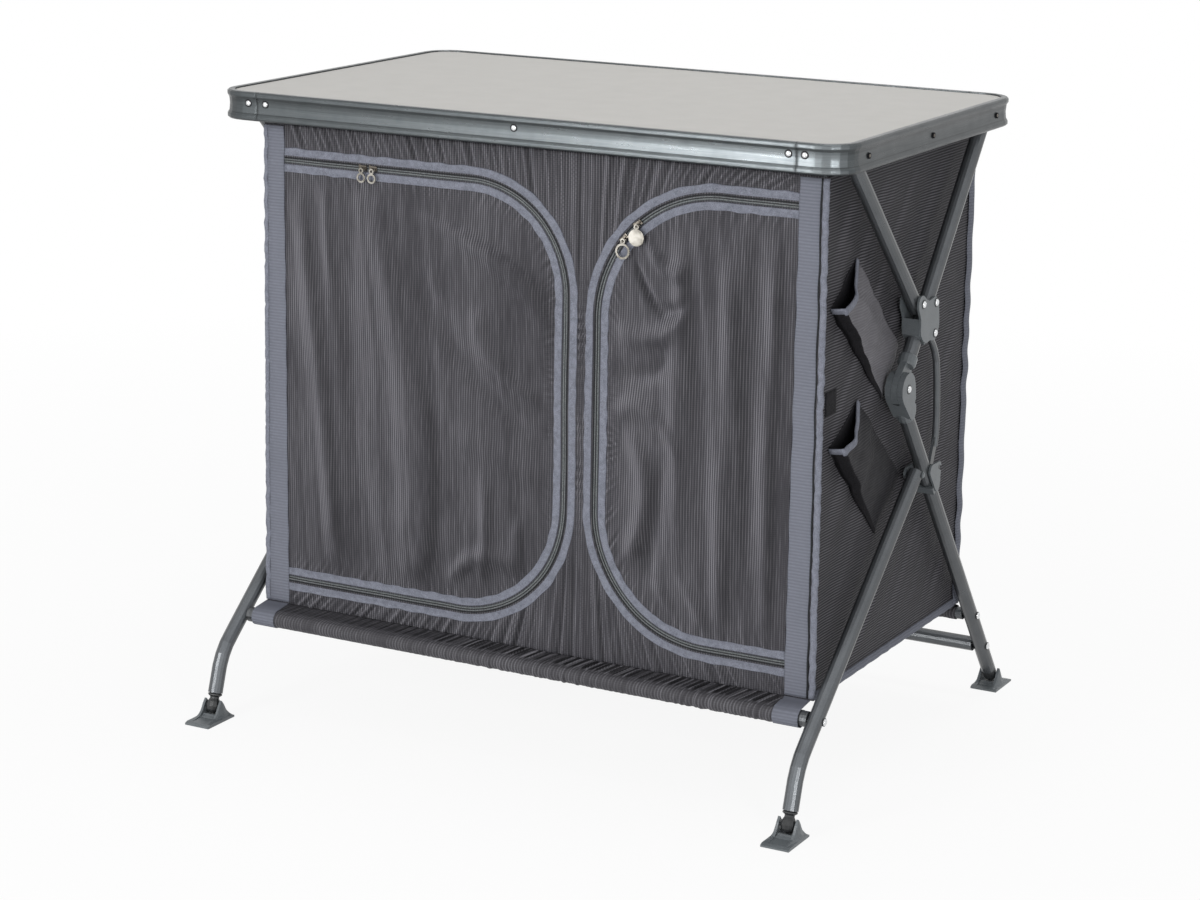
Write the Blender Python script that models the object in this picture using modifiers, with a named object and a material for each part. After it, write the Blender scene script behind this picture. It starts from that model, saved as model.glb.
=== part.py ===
"""Camping cupboard: a worktop on a folding tube frame, with a fabric case hung under it.

Metres, +Z up, +X along the front, +Y to the rear, origin on the floor under the middle.
"""
import math

import bmesh
import bpy
from mathutils import Matrix, Vector

# Driving dimensions
WIDTH = 0.850
DEPTH = 0.530
HEIGHT = 0.800
RIM_HEIGHT = 0.035
RIM_CORNER = 0.040
RIM_SEAM_X = 0.3635
TUBE_RADIUS = 0.0095
BAR_RADIUS = 0.0080
FRAME_X = 0.405
SEAT = 0.0003

# End frame in the Y-Z plane: each point is (y, z)
TOP_FRONT = Vector((-0.198, 0.771))
TOP_REAR = Vector((0.196, 0.771))
HUB_FRONT_PIVOT = Vector((-0.001, 0.577))
HUB_RIVET = Vector((0.0393, 0.5727))
HUB_STAY_PIVOT = Vector((0.039, 0.535))
KNEE_AXES = Vector((-0.041, 0.477))
KNEE_PIVOT = Vector((-0.034, 0.479))
REAR_TUBE_END = Vector((0.3124, 0.0274))
LEG_PIVOT_ALONG = 0.133
LEG_PIVOT_OFFSET = 0.0205
FRONT_BAR = Vector((-0.247, 0.123))
REAR_BAR = Vector((0.238, 0.122))
CROSS_BAR = Vector((0.279, 0.069))
FRONT_TUBE_END = Vector((-0.313, 0.034))
FRONT_FOOT_PIVOT = Vector((-0.3177, 0.0175))
REAR_FOOT_PIVOT = Vector((0.3205, 0.0175))
STAY_HOOK = Vector((0.072, 0.360))

# Fabric case
CASE_X = 0.3885
CASE_Y = 0.2215
CASE_TOP = 0.7580
CASE_BOTTOM = 0.1385
CLOTH = 0.0020
TAPE_X = (0.351, 0.383)
TAPE = 0.0015
DIVIDER_X = 0.073
DIVIDER = 0.0030
SHELF_Z = 0.440
SHELF = 0.0060
DOOR_GAP = 0.0015

# Door outlines on the front: outer edge, inner edge, top, bottom, top and bottom corner radius
DOOR_LEFT = (-0.351, 0.051, 0.714, 0.172, 0.130, 0.150)
DOOR_RIGHT = (0.351, 0.093, 0.722, 0.176, 0.160, 0.150)

# Rim section: (depth in from the outer face, height below or above its middle), lower half
RIM_HALF = ((0.0095, -0.0175), (0.0020, -0.0175), (0.0, -0.0155), (0.0, -0.0120), (0.0022, -0.0085),
            (0.0030, 0.0))
RIM_WALL = 0.0014
RIM_MIDDLE = HEIGHT - RIM_HEIGHT / 2
BOARD_THICK = 0.0145
BOARD_INSET = 0.0048
BOARD_TOP = HEIGHT - 0.0015
BOARD_UNDER = BOARD_TOP - BOARD_THICK
BOARD_LEDGE = 0.0012
FACE_INSET = 0.0100

# Rails under the board
RAIL_X = 0.381
RAIL_WALL = 0.0025
RAIL_FLANGE = 0.012
RAIL_BOTTOM = CASE_TOP + 0.0005
RAIL_Y = 0.225
BAR_PLAY = 0.0006
FRONT_BAR_TRAVEL = 0.345

for old in list(bpy.data.objects):
    bpy.data.objects.remove(old, do_unlink=True)

parts = bpy.data.collections.new("camping_cupboard")
cutters = bpy.data.collections.new("cutters")
bpy.context.scene.collection.children.link(parts)
bpy.context.scene.collection.children.link(cutters)


def finish(name, colour, roughness, metallic=0.0):
    """A Principled material of one colour."""
    material = bpy.data.materials.new(name)
    material.use_nodes = True
    shader = material.node_tree.nodes["Principled BSDF"]
    shader.inputs["Base Color"].default_value = (*colour, 1.0)
    shader.inputs["Roughness"].default_value = roughness
    shader.inputs["Metallic"].default_value = metallic
    return material


LAMINATE = ("laminate", (0.49, 0.48, 0.46), 0.45, 0.0)
ANODISED = ("anodised", (0.13, 0.14, 0.15), 0.35, 0.8)
STEEL_GREY = ("painted_tube", (0.09, 0.11, 0.115), 0.38, 0.3)
NYLON = ("grey_nylon", (0.13, 0.14, 0.15), 0.5, 0.0)
BLACK_NYLON = ("black_nylon", (0.02, 0.02, 0.022), 0.55, 0.0)
CLOTH_GREY = ("case_cloth", (0.06, 0.058, 0.066), 0.85, 0.0)
TAPE_GREY = ("tape", (0.13, 0.14, 0.17), 0.8, 0.0)
NICKEL = ("nickel", (0.62, 0.61, 0.58), 0.25, 1.0)
ZINC = ("zinc", (0.70, 0.70, 0.70), 0.3, 1.0)


def place(data, name, look, collection=parts):
    """Put mesh or curve data in the scene as one named object with its own material."""
    obj = bpy.data.objects.new(name, data)
    collection.objects.link(obj)
    if look:
        data.materials.append(finish(f"{name}_{look[0]}", *look[1:]))
    return obj


def hide_cutter(obj):
    obj.hide_render = True
    obj.display_type = "WIRE"
    return obj


def as_mesh(obj):
    """Turn a curve object into a mesh object of the same name and place, its caps welded."""
    graph = bpy.context.evaluated_depsgraph_get()
    mesh = bpy.data.meshes.new_from_object(obj.evaluated_get(graph))
    body = bmesh.new()
    body.from_mesh(mesh)
    bmesh.ops.remove_doubles(body, verts=body.verts, dist=0.000005)
    body.to_mesh(mesh)
    body.free()
    name, matrix, collection = obj.name, obj.matrix_world.copy(), obj.users_collection[0]
    bpy.data.objects.remove(obj, do_unlink=True)
    solid = bpy.data.objects.new(name, mesh)
    solid.name = name
    solid.matrix_world = matrix
    collection.objects.link(solid)
    return solid


def smooth(obj, degrees=35.0):
    obj.data.shade_smooth()
    obj.data.set_sharp_from_angle(angle=math.radians(degrees))
    return obj


def rod(name, points, radius, look, radii=None, sides=16, collection=parts):
    """A tube with filled ends along points; radii scales it point by point for a turned form."""
    curve = bpy.data.curves.new(name, "CURVE")
    curve.dimensions = "3D"
    curve.bevel_depth = radius
    curve.bevel_resolution = sides // 2 - 2
    curve.use_fill_caps = True
    spline = curve.splines.new("POLY")
    spline.points.add(len(points) - 1)
    for index, point in enumerate(points):
        spline.points[index].co = (*point, 1.0)
        spline.points[index].radius = radii[index] / radius if radii else 1.0
    return place(curve, name, look, collection)


def plate(name, outlines, thickness, look, matrix, collection=parts):
    """A flat plate: the first outline is its edge, the others are holes; matrix carries its middle plane."""
    curve = bpy.data.curves.new(name, "CURVE")
    curve.dimensions = "2D"
    curve.fill_mode = "BOTH"
    curve.extrude = thickness / 2
    for outline in outlines:
        spline = curve.splines.new("POLY")
        spline.points.add(len(outline) - 1)
        spline.use_cyclic_u = True
        for index, point in enumerate(outline):
            spline.points[index].co = (point[0], point[1], 0.0, 1.0)
    obj = place(curve, name, look, collection)
    obj.matrix_world = matrix
    return obj


def side_plane(x):
    """A drawing plane whose two axes are Y and Z, at the given X."""
    return Matrix(((0, 0, 1, x), (1, 0, 0, 0), (0, 1, 0, 0), (0, 0, 0, 1)))


def front_plane(y):
    """A drawing plane whose two axes are X and Z, at the given Y."""
    return Matrix(((1, 0, 0, 0), (0, 0, -1, y), (0, 1, 0, 0), (0, 0, 0, 1)))


def level_plane(z):
    return Matrix.Translation((0, 0, z))


def modify(obj, kind, **settings):
    modifier = obj.modifiers.new(kind.title(), kind)
    for key, value in settings.items():
        setattr(modifier, key, value)
    return modifier


def cut(obj, cutter):
    modify(obj, "BOOLEAN", operation="DIFFERENCE", object=hide_cutter(cutter))


def join(obj, other):
    modify(obj, "BOOLEAN", operation="UNION", object=hide_cutter(other))


def arc(centre, radius, start, end, steps):
    """Points on an arc, in degrees, both ends included."""
    points = []
    for step in range(steps + 1):
        angle = math.radians(start + (end - start) * step / steps)
        points.append((centre[0] + radius * math.cos(angle), centre[1] + radius * math.sin(angle)))
    return points


def capsule(start, end, radius, steps=6):
    """An outline of constant half-width round the line from start to end."""
    start, end = Vector(start[:2]), Vector(end[:2])
    heading = math.degrees(math.atan2(end.y - start.y, end.x - start.x))
    return (arc(end, radius, heading - 90, heading + 90, steps)
            + arc(start, radius, heading + 90, heading + 270, steps))


def hull_of_discs(discs, steps=5):
    """The outline of a band stretched round discs (y, z, radius), given anticlockwise."""
    outline = []
    count = len(discs)
    for index, (y, z, radius) in enumerate(discs):
        before = discs[index - 1]
        after = discs[(index + 1) % count]
        turn = []
        for a, b in ((before, discs[index]), (discs[index], after)):
            gap = math.hypot(b[0] - a[0], b[1] - a[1])
            heading = math.atan2(b[1] - a[1], b[0] - a[0])
            turn.append(math.degrees(heading - math.pi / 2 - math.asin((b[2] - a[2]) / gap)))
        while turn[1] < turn[0]:
            turn[1] += 360
        outline += arc((y, z), radius, turn[0], turn[1], steps)
    return outline


def at(x, point):
    """A point of the end frame at the given X."""
    return Vector((x, point[0], point[1]))


def along(start, heading, distance, offset=0.0):
    """A point at a distance along a line of the end frame, and off it to its left."""
    return start + heading * distance + Vector((-heading.y, heading.x)) * offset


def cross_rod(name, x_low, x_high, point, radius, look, sides=16, collection=parts):
    return rod(name, [at(x_low, point), at(x_high, point)], radius, look, sides=sides, collection=collection)


def rounded_board(half_x, half_y, corner, steps=5):
    outline = []
    for turn, (sx, sy) in enumerate(((1, 1), (-1, 1), (-1, -1), (1, -1))):
        centre = (sx * (half_x - corner), sy * (half_y - corner))
        outline += arc(centre, corner, 90 * turn, 90 * turn + 90, steps)
    return outline


def add_heads(carrier, spots, radius, height):
    """Domed heads of rivets or screws on a piece: each spot is a point in its skin and the way it faces."""
    for index, (spot, facing) in enumerate(spots):
        facing = Vector(facing)
        turn = facing.to_track_quat("Z", "Y").to_matrix().to_4x4()
        middle = Vector(spot) + facing * (height / 2)
        mesh = bpy.data.meshes.new(f"{carrier.name}_head_{index}")
        body = bmesh.new()
        bmesh.ops.create_cone(body, cap_ends=True, segments=10, radius1=radius, radius2=radius * 0.55,
                              depth=height, matrix=Matrix.Translation(middle) @ turn)
        body.to_mesh(mesh)
        body.free()
        join(carrier, place(mesh, mesh.name, None, cutters))


REAR_RUN = (KNEE_AXES - TOP_REAR).normalized()
LEG_RUN = (REAR_TUBE_END - KNEE_AXES).normalized()
FRONT_RUN = (HUB_FRONT_PIVOT - TOP_FRONT).normalized()
LEG_PIVOT = along(KNEE_AXES, LEG_RUN, LEG_PIVOT_ALONG, -LEG_PIVOT_OFFSET)


# Worktop board: a core held under the rims' lips, and a face raised inside them
def board_layer(name, inset, low, high, look, collection=parts):
    outline = rounded_board(WIDTH / 2 - inset, DEPTH / 2 - inset, RIM_CORNER - inset)
    return plate(name, [outline], high - low, look, level_plane((low + high) / 2), collection)


board = as_mesh(board_layer("worktop_board", BOARD_INSET, BOARD_UNDER, BOARD_TOP - BOARD_LEDGE, None))
board.data.materials.append(finish("worktop_board_laminate", *LAMINATE[1:]))
face = board_layer("worktop_face", FACE_INSET, BOARD_UNDER + BOARD_LEDGE, BOARD_TOP, None, cutters)
join(board, as_mesh(face))


# Rims: a pressed section with beaded lips, swept along the edge and round the corners
def rim_section():
    """The closed outline of the pressed wall: its outer face, then its inner face a wall's thickness in."""
    outer = list(RIM_HALF) + [(depth, -height) for depth, height in reversed(RIM_HALF[:-1])]
    inner = []
    for index, point in enumerate(outer):
        before = Vector(outer[max(index - 1, 0)])
        after = Vector(outer[min(index + 1, len(outer) - 1)])
        heading = (after - before).normalized()
        inner.append(Vector(point) + Vector((heading.y, -heading.x)) * RIM_WALL)
    inner[0] = Vector((outer[0][0], outer[0][1] + RIM_WALL))
    inner[-1] = Vector((outer[-1][0], outer[-1][1] - RIM_WALL))
    return [Vector(point) for point in outer] + list(reversed(inner))


def sweep(name, path, look):
    """Sweep the rim section along a level path; path points are (position, outward way, mitre scale)."""
    section = rim_section()
    mesh = bpy.data.meshes.new(name)
    body = bmesh.new()
    rings = []
    for spot, outward in path:
        ring = []
        for point in section:
            place_at = Vector(spot) - Vector(outward) * point.x
            ring.append(body.verts.new((place_at.x, place_at.y, RIM_MIDDLE + point.y)))
        rings.append(ring)
    count = len(section)
    for first, second in zip(rings[:-1], rings[1:]):
        for index in range(count):
            following = (index + 1) % count
            body.faces.new((first[index], second[index], second[following], first[following]))
    body.faces.new(rings[0])
    body.faces.new(list(reversed(rings[-1])))
    bmesh.ops.recalc_face_normals(body, faces=body.faces)
    body.to_mesh(mesh)
    body.free()
    return smooth(place(mesh, name, look), 40.0)


def rim_corner(sx, sy, start):
    """Path points round one corner of the worktop, from the given heading in degrees."""
    centre = Vector((sx * (WIDTH / 2 - RIM_CORNER), sy * (DEPTH / 2 - RIM_CORNER)))
    steps = 6
    points = []
    for step in range(steps + 1):
        angle = math.radians(start + 90 * step / steps)
        outward = Vector((math.cos(angle), math.sin(angle)))
        points.append((centre + outward * RIM_CORNER, outward))
    return points


RIM_END = RIM_SEAM_X - SEAT
HEAD_BASE = 0.0035
HEAD_TALL = 0.0020
RIVET_RADIUS = 0.0030
SEAM_RIVET_Z = 0.7865
SIDE_RIVET_Z = 0.7815
MIDDLE_RIVET_X = 0.0
SIDE_SEAM_RIVETS = {"left": -0.376, "right": 0.3735}
FRONT_SEAM_RIVETS = (-0.351, 0.3535)
SIDE_RIVETS = (-0.196, -0.006, 0.199)
for name, y, way in (("rim_front", -DEPTH / 2, -1), ("rim_rear", DEPTH / 2, 1)):
    outward = Vector((0, way))
    rim = sweep(name, [(Vector((-RIM_END, y)), outward), (Vector((RIM_END, y)), outward)], ANODISED)
    rivets = (*FRONT_SEAM_RIVETS, MIDDLE_RIVET_X)
    spots = [((x, y - way * HEAD_BASE, SEAM_RIVET_Z), (0, way, 0)) for x in rivets]
    add_heads(rim, spots, RIVET_RADIUS, HEAD_TALL)
for label, side in (("right", 1), ("left", -1)):
    front = (Vector((side * RIM_SEAM_X, -DEPTH / 2)), Vector((0, -1)))
    rear = (Vector((side * RIM_SEAM_X, DEPTH / 2)), Vector((0, 1)))
    if side == 1:
        path = [front] + rim_corner(1, -1, -90) + rim_corner(1, 1, 0) + [rear]
    else:
        path = [rear] + rim_corner(-1, 1, 90) + rim_corner(-1, -1, 180) + [front]
    rim = sweep(f"rim_{label}", path, ANODISED)
    seam_x = SIDE_SEAM_RIVETS[label]
    spots = [((seam_x, way * (DEPTH / 2 - HEAD_BASE), SEAM_RIVET_Z), (0, way, 0)) for way in (-1, 1)]
    spots += [((side * (WIDTH / 2 - HEAD_BASE), y, SIDE_RIVET_Z), (side, 0, 0)) for y in SIDE_RIVETS]
    add_heads(rim, spots, RIVET_RADIUS, HEAD_TALL)


# Rails: angle strips under the board, a hole for the rear bar and a long slot for the front bar
def make_rail(name, side):
    top = BOARD_UNDER - SEAT
    outer, inner = RAIL_X + RAIL_WALL, RAIL_X - RAIL_FLANGE
    profile = [(RAIL_X, RAIL_BOTTOM), (outer, RAIL_BOTTOM), (outer, top), (inner, top), (inner, top - RAIL_WALL),
               (RAIL_X, top - RAIL_WALL)]
    outline = [(side * x, z) for x, z in profile]
    rail = as_mesh(plate(name, [outline], 2 * RAIL_Y, None, front_plane(0.0)))
    rail.data.materials.append(finish(f"{name}_anodised", *ANODISED[1:]))
    slot_end = (TOP_FRONT.x + FRONT_BAR_TRAVEL, TOP_FRONT.y)
    slot = plate(f"{name}_slot", [capsule(TOP_FRONT, slot_end, BAR_RADIUS + BAR_PLAY)], 4 * RAIL_FLANGE, None,
                 side_plane(side * RAIL_X), cutters)
    cut(rail, as_mesh(slot))
    hole = cross_rod(f"{name}_hole", side * RAIL_X - RAIL_FLANGE, side * RAIL_X + RAIL_FLANGE, TOP_REAR,
                     BAR_RADIUS + BAR_PLAY, None, collection=cutters)
    cut(rail, as_mesh(hole))


for name, side in (("rail_left", -1), ("rail_right", 1)):
    make_rail(name, side)


# Tubes and bars
BAR_END = FRAME_X - TUBE_RADIUS - SEAT
cross_rod("top_rear_bar", -BAR_END, BAR_END, TOP_REAR, BAR_RADIUS, STEEL_GREY)
cross_rod("top_front_bar", -BAR_END, BAR_END, TOP_FRONT, BAR_RADIUS, STEEL_GREY)
cross_rod("rear_fabric_bar", -BAR_END, BAR_END, REAR_BAR, BAR_RADIUS, STEEL_GREY)
cross_rod("rear_cross_bar", -BAR_END, BAR_END, CROSS_BAR, TUBE_RADIUS, STEEL_GREY)
cross_rod("front_lower_bar", -BAR_END, BAR_END, FRONT_BAR, TUBE_RADIUS, STEEL_GREY)

SCREW_RADIUS = 0.0045
SCREW_TALL = 0.0042
SCREW_BASE = FRAME_X + TUBE_RADIUS - 0.0020
SOCKET_START = 0.0340
SOCKET_END = 0.0480
SOCKET_MOUTH = 0.0098
SOCKET_LIP = 0.0108
SOCKET_SLOPE = 0.0025
SOCKET_FLOOR = 0.0012
SOCKET_RADIUS = 0.0115
BORE = TUBE_RADIUS + SEAT
PIN_RADIUS = 0.0025
PIN_BORE = PIN_RADIUS + SEAT
CROSS_CUT = 0.0200
PLATE_IN = TUBE_RADIUS + SEAT
PLATE_THICK = 0.0027
FRONT_TUBE_OVERRUN = 0.0110
FRONT_LEG_OVERRUN = 0.0020
LEG_BEND = ((-0.262, 0.114), (-0.2745, 0.1032), (-0.2870, 0.0920), (-0.2960, 0.0800), (-0.3025, 0.0670))


def cross_hole(name, x, point, radius):
    """A round cutter across an end frame."""
    return as_mesh(cross_rod(name, x - CROSS_CUT, x + CROSS_CUT, point, radius, None, 10, cutters))


def bored_tube(name, side, points, holes):
    """A frame tube in its side plane with pin holes across it at the given points."""
    x = side * FRAME_X
    tube = as_mesh(rod(name, [at(x, point) for point in points], TUBE_RADIUS, None))
    tube.data.materials.append(finish(f"{name}_painted", *STEEL_GREY[1:]))
    for index, hole in enumerate(holes):
        cut(tube, cross_hole(f"{name}_hole_{index}", x, hole, PIN_BORE))
    return tube


SOCKET_FACE = SOCKET_START + SOCKET_FLOOR + SEAT
upper_foot = along(KNEE_AXES, -REAR_RUN, SOCKET_FACE)
leg_head = along(KNEE_AXES, LEG_RUN, SOCKET_FACE)
front_tube_foot = along(HUB_FRONT_PIVOT, FRONT_RUN, FRONT_TUBE_OVERRUN)
front_leg_run = (LEG_PIVOT - Vector(LEG_BEND[0])).normalized()
front_leg_head = along(LEG_PIVOT, front_leg_run, FRONT_LEG_OVERRUN)
front_leg_points = [front_leg_head] + [Vector(point) for point in LEG_BEND] + [FRONT_TUBE_END]
for label, side in (("left", -1), ("right", 1)):
    bored_tube(f"upper_rear_tube_{label}", side, [TOP_REAR, upper_foot], [HUB_RIVET])
    bored_tube(f"upper_front_tube_{label}", side, [TOP_FRONT, front_tube_foot], [HUB_FRONT_PIVOT])
    rear_leg = bored_tube(f"rear_leg_{label}", side, [leg_head, REAR_TUBE_END], [])
    front_leg = bored_tube(f"front_leg_{label}", side, front_leg_points, [LEG_PIVOT])
    for leg, bars in ((rear_leg, (REAR_BAR, CROSS_BAR)), (front_leg, (FRONT_BAR,))):
        add_heads(leg, [(at(side * SCREW_BASE, bar), (side, 0, 0)) for bar in bars], SCREW_RADIUS, SCREW_TALL)


# Hub: two pinwheel plates joined by a web that wraps the rear tube
HUB_OUTLINE = ((-0.0034, 0.5900), (-0.0150, 0.5860), (-0.0170, 0.5740), (-0.0060, 0.5590), (-0.0085, 0.5400),
               (0.0098, 0.5255), (0.0234, 0.5300), (0.0390, 0.5245), (0.0520, 0.5410), (0.0500, 0.5560),
               (0.0480, 0.5680), (0.0390, 0.5830), (0.0153, 0.5765))
HUB_WEB = ((-0.0060, 0.5590), (-0.0085, 0.5400), (0.0098, 0.5255), (0.0230, 0.5330), (0.0265, 0.5480),
           (0.0080, 0.5560))


def rounded(corners, steps=2, pull=0.5):
    """Round a corner list with one quadratic bend at each corner."""
    outline = []
    count = len(corners)
    for index, corner in enumerate(corners):
        corner = Vector(corner)
        before = corner.lerp(Vector(corners[index - 1]), pull)
        after = corner.lerp(Vector(corners[(index + 1) % count]), pull)
        for step in range(steps + 1):
            t = step / steps
            outline.append(before.lerp(corner, t).lerp(corner.lerp(after, t), t))
    return outline


PLATE_FACE = PLATE_IN + PLATE_THICK
HEAD_RADIUS = 0.0042
HEAD_HIGH = 0.0016
HEAD_SINK = 0.0003


def headed_pin(name, x, point, inward, outward):
    """A pin across an end frame with a low head at each reach, sunk a little in what it holds."""
    side = 1 if x > 0 else -1
    low, high = x - side * inward, x + side * outward
    steps = [(low - side * HEAD_HIGH, 0.6 * HEAD_RADIUS), (low - side * HEAD_SINK, HEAD_RADIUS),
             (low + side * HEAD_SINK, HEAD_RADIUS), (low + side * 1.1 * HEAD_SINK, PIN_RADIUS),
             (high - side * 1.1 * HEAD_SINK, PIN_RADIUS), (high - side * HEAD_SINK, HEAD_RADIUS),
             (high + side * HEAD_SINK, HEAD_RADIUS), (high + side * HEAD_HIGH, 0.6 * HEAD_RADIUS)]
    points = [at(reach, point) for reach, _ in steps]
    return as_mesh(rod(name, points, PIN_RADIUS, None, [radius for _, radius in steps], 10, cutters))


def make_hub(label, side):
    x = side * FRAME_X
    name = f"hub_bracket_{label}"
    outline = rounded(HUB_OUTLINE, 2, 0.42)
    middle = PLATE_IN + PLATE_THICK / 2
    hub = as_mesh(plate(name, [outline], PLATE_THICK, None, side_plane(x + middle)))
    hub.data.materials.append(finish(f"{name}_nylon", *NYLON[1:]))
    inner = as_mesh(plate(f"{name}_inner", [outline], PLATE_THICK, None, side_plane(x - middle), cutters))
    web = as_mesh(plate(f"{name}_web", [HUB_WEB], 2 * middle, None, side_plane(x), cutters))
    join(hub, web)
    join(hub, inner)
    bore = rod(f"{name}_bore", [at(x, along(TOP_REAR, REAR_RUN, 0.2)), at(x, KNEE_AXES)], BORE, None,
               collection=cutters)
    cut(hub, as_mesh(bore))
    for index, point in enumerate((HUB_FRONT_PIVOT, HUB_RIVET, HUB_STAY_PIVOT)):
        join(hub, headed_pin(f"{name}_pin_{index}", x, point, PLATE_FACE, PLATE_FACE))
    return smooth(hub)


for label, side in (("left", -1), ("right", 1)):
    make_hub(label, side)


# Knee joints: a tongue and a fork, each with a socket for its tube
DISC_RADIUS = 0.0205
TONGUE_HALF = 0.0040
FORK_OUT = 0.0115
FOLD_TURN = math.radians(80.5)
NECK_RADIUS = 0.0100
NECK_REACH = SOCKET_START + 0.0020
RELIEF_RADIUS = DISC_RADIUS + 0.0010
RELIEF_FAR = 0.0600
CHEEK_CLEAR = 0.0006
SWEPT_DEGREES = 110


def turned(point, angle):
    """A point of the end frame turned about the knee's pivot."""
    offset = point - KNEE_PIVOT
    c, s = math.cos(angle), math.sin(angle)
    return KNEE_PIVOT + Vector((offset.x * c - offset.y * s, offset.x * s + offset.y * c))


def knee_room(run):
    """Cutter outlines for the fork: the slot that the tongue sweeps, and the corner its socket sweeps."""
    left = Vector((-run.y, run.x))
    folded_run = turned(KNEE_PIVOT - REAR_RUN, -FOLD_TURN) - KNEE_PIVOT
    folded_left = Vector((-folded_run.y, folded_run.x))
    neck = turned(along(KNEE_AXES, -REAR_RUN, NECK_REACH), -FOLD_TURN)
    between = neck - KNEE_PIVOT
    slope = math.asin((RELIEF_RADIUS - NECK_RADIUS - CHEEK_CLEAR) / between.length)
    normal_angle = math.atan2(between.y, between.x) - math.pi / 2 + slope
    normal = Vector((math.cos(normal_angle), math.sin(normal_angle)))
    tangent = Vector((-normal.y, normal.x))
    start = math.degrees(math.atan2(-left.y, -left.x))
    stop = math.degrees(normal_angle)
    if stop < start:
        stop += 360
    slot = arc(KNEE_PIVOT, RELIEF_RADIUS, start, stop, 5)
    slot.append(tuple(KNEE_PIVOT + normal * RELIEF_RADIUS + tangent * RELIEF_FAR))
    slot.append(tuple(KNEE_PIVOT + left * RELIEF_FAR + run * RELIEF_FAR))
    slot.append(tuple(KNEE_PIVOT + left * RELIEF_FAR - run * RELIEF_FAR))
    slot.append(tuple(KNEE_PIVOT - left * RELIEF_RADIUS - run * RELIEF_FAR))
    mouth = turned(along(KNEE_AXES, -REAR_RUN, SOCKET_START), -FOLD_TURN)
    corner = mouth - folded_left * (SOCKET_RADIUS + CHEEK_CLEAR) - folded_run * CHEEK_CLEAR
    reach = (mouth - KNEE_PIVOT).dot(folded_run) - CHEEK_CLEAR
    first = math.degrees(math.atan2(folded_run.y, folded_run.x))
    swept = arc(KNEE_PIVOT, reach, first, first + SWEPT_DEGREES, 10)
    far = [tuple(KNEE_PIVOT + (Vector(swept[-1]) - KNEE_PIVOT) * 3),
           tuple(KNEE_PIVOT + (left + run) * 1.5 * RELIEF_FAR),
           tuple(corner + folded_run * RELIEF_FAR), tuple(corner)]
    return slot, swept + far


def knee_half(name, side, run, fork):
    """One half of the knee: a disc on the pivot, a neck, and a socket round the tube's end."""
    x = side * FRAME_X
    neck_end = along(KNEE_AXES, run, NECK_REACH)
    outline = hull_of_discs([(*KNEE_PIVOT, DISC_RADIUS), (*neck_end, NECK_RADIUS)], 8)
    thick = 2 * FORK_OUT if fork else 2 * TONGUE_HALF
    half = as_mesh(plate(name, [outline], thick, None, side_plane(x)))
    half.data.materials.append(finish(f"{name}_nylon", *NYLON[1:]))
    if fork:
        slot, corner = knee_room(run)
        gap = plate(f"{name}_gap", [slot], 2 * (TONGUE_HALF + SEAT), None, side_plane(x), cutters)
        cut(half, as_mesh(gap))
        trim = plate(f"{name}_trim", [corner], 4 * FORK_OUT, None, side_plane(x), cutters)
        cut(half, as_mesh(trim))
    stations = [(SOCKET_START, SOCKET_MOUTH), (SOCKET_START + SOCKET_SLOPE, SOCKET_RADIUS),
                (SOCKET_END - SOCKET_SLOPE / 2, SOCKET_RADIUS), (SOCKET_END, SOCKET_LIP)]
    socket = rod(f"{name}_socket", [at(x, along(KNEE_AXES, run, distance)) for distance, _ in stations],
                 SOCKET_RADIUS, None, [radius for _, radius in stations], collection=cutters)
    join(half, as_mesh(socket))
    bore_ends = [at(x, along(KNEE_AXES, run, SOCKET_START + SOCKET_FLOOR)),
                 at(x, along(KNEE_AXES, run, SOCKET_END + CROSS_CUT))]
    bore = rod(f"{name}_bore", bore_ends, BORE, None, collection=cutters)
    cut(half, as_mesh(bore))
    if fork:
        join(half, headed_pin(f"{name}_pin", x, KNEE_PIVOT, FORK_OUT, FORK_OUT))
    else:
        cut(half, cross_hole(f"{name}_hole", x, KNEE_PIVOT, PIN_BORE))
    return smooth(half)


for label, side in (("left", -1), ("right", 1)):
    knee_half(f"knuckle_upper_{label}", side, -REAR_RUN, False)
    knee_half(f"knuckle_lower_{label}", side, LEG_RUN, True)


# Lower brackets: an outer lug and a wider inner plate, both slotted for the stay's hooked end
LUG_RADIUS = 0.0070
HOOK_RADIUS = 0.0020
HOOK_PLAY = 0.0006
HOOK_EXIT = Vector((0.917, -0.398))
BRACKET_LOW = along(KNEE_AXES, LEG_RUN, 0.178)
BRACKET_MIDDLE = along(KNEE_AXES, LEG_RUN, 0.150)
BRACKET_LOW_RADIUS = 0.0075
BRACKET_RADIUS = 0.0080
SADDLE_ENDS = (0.172, 0.183)
SADDLE_SIDES = (0.0125, -0.0115)


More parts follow.
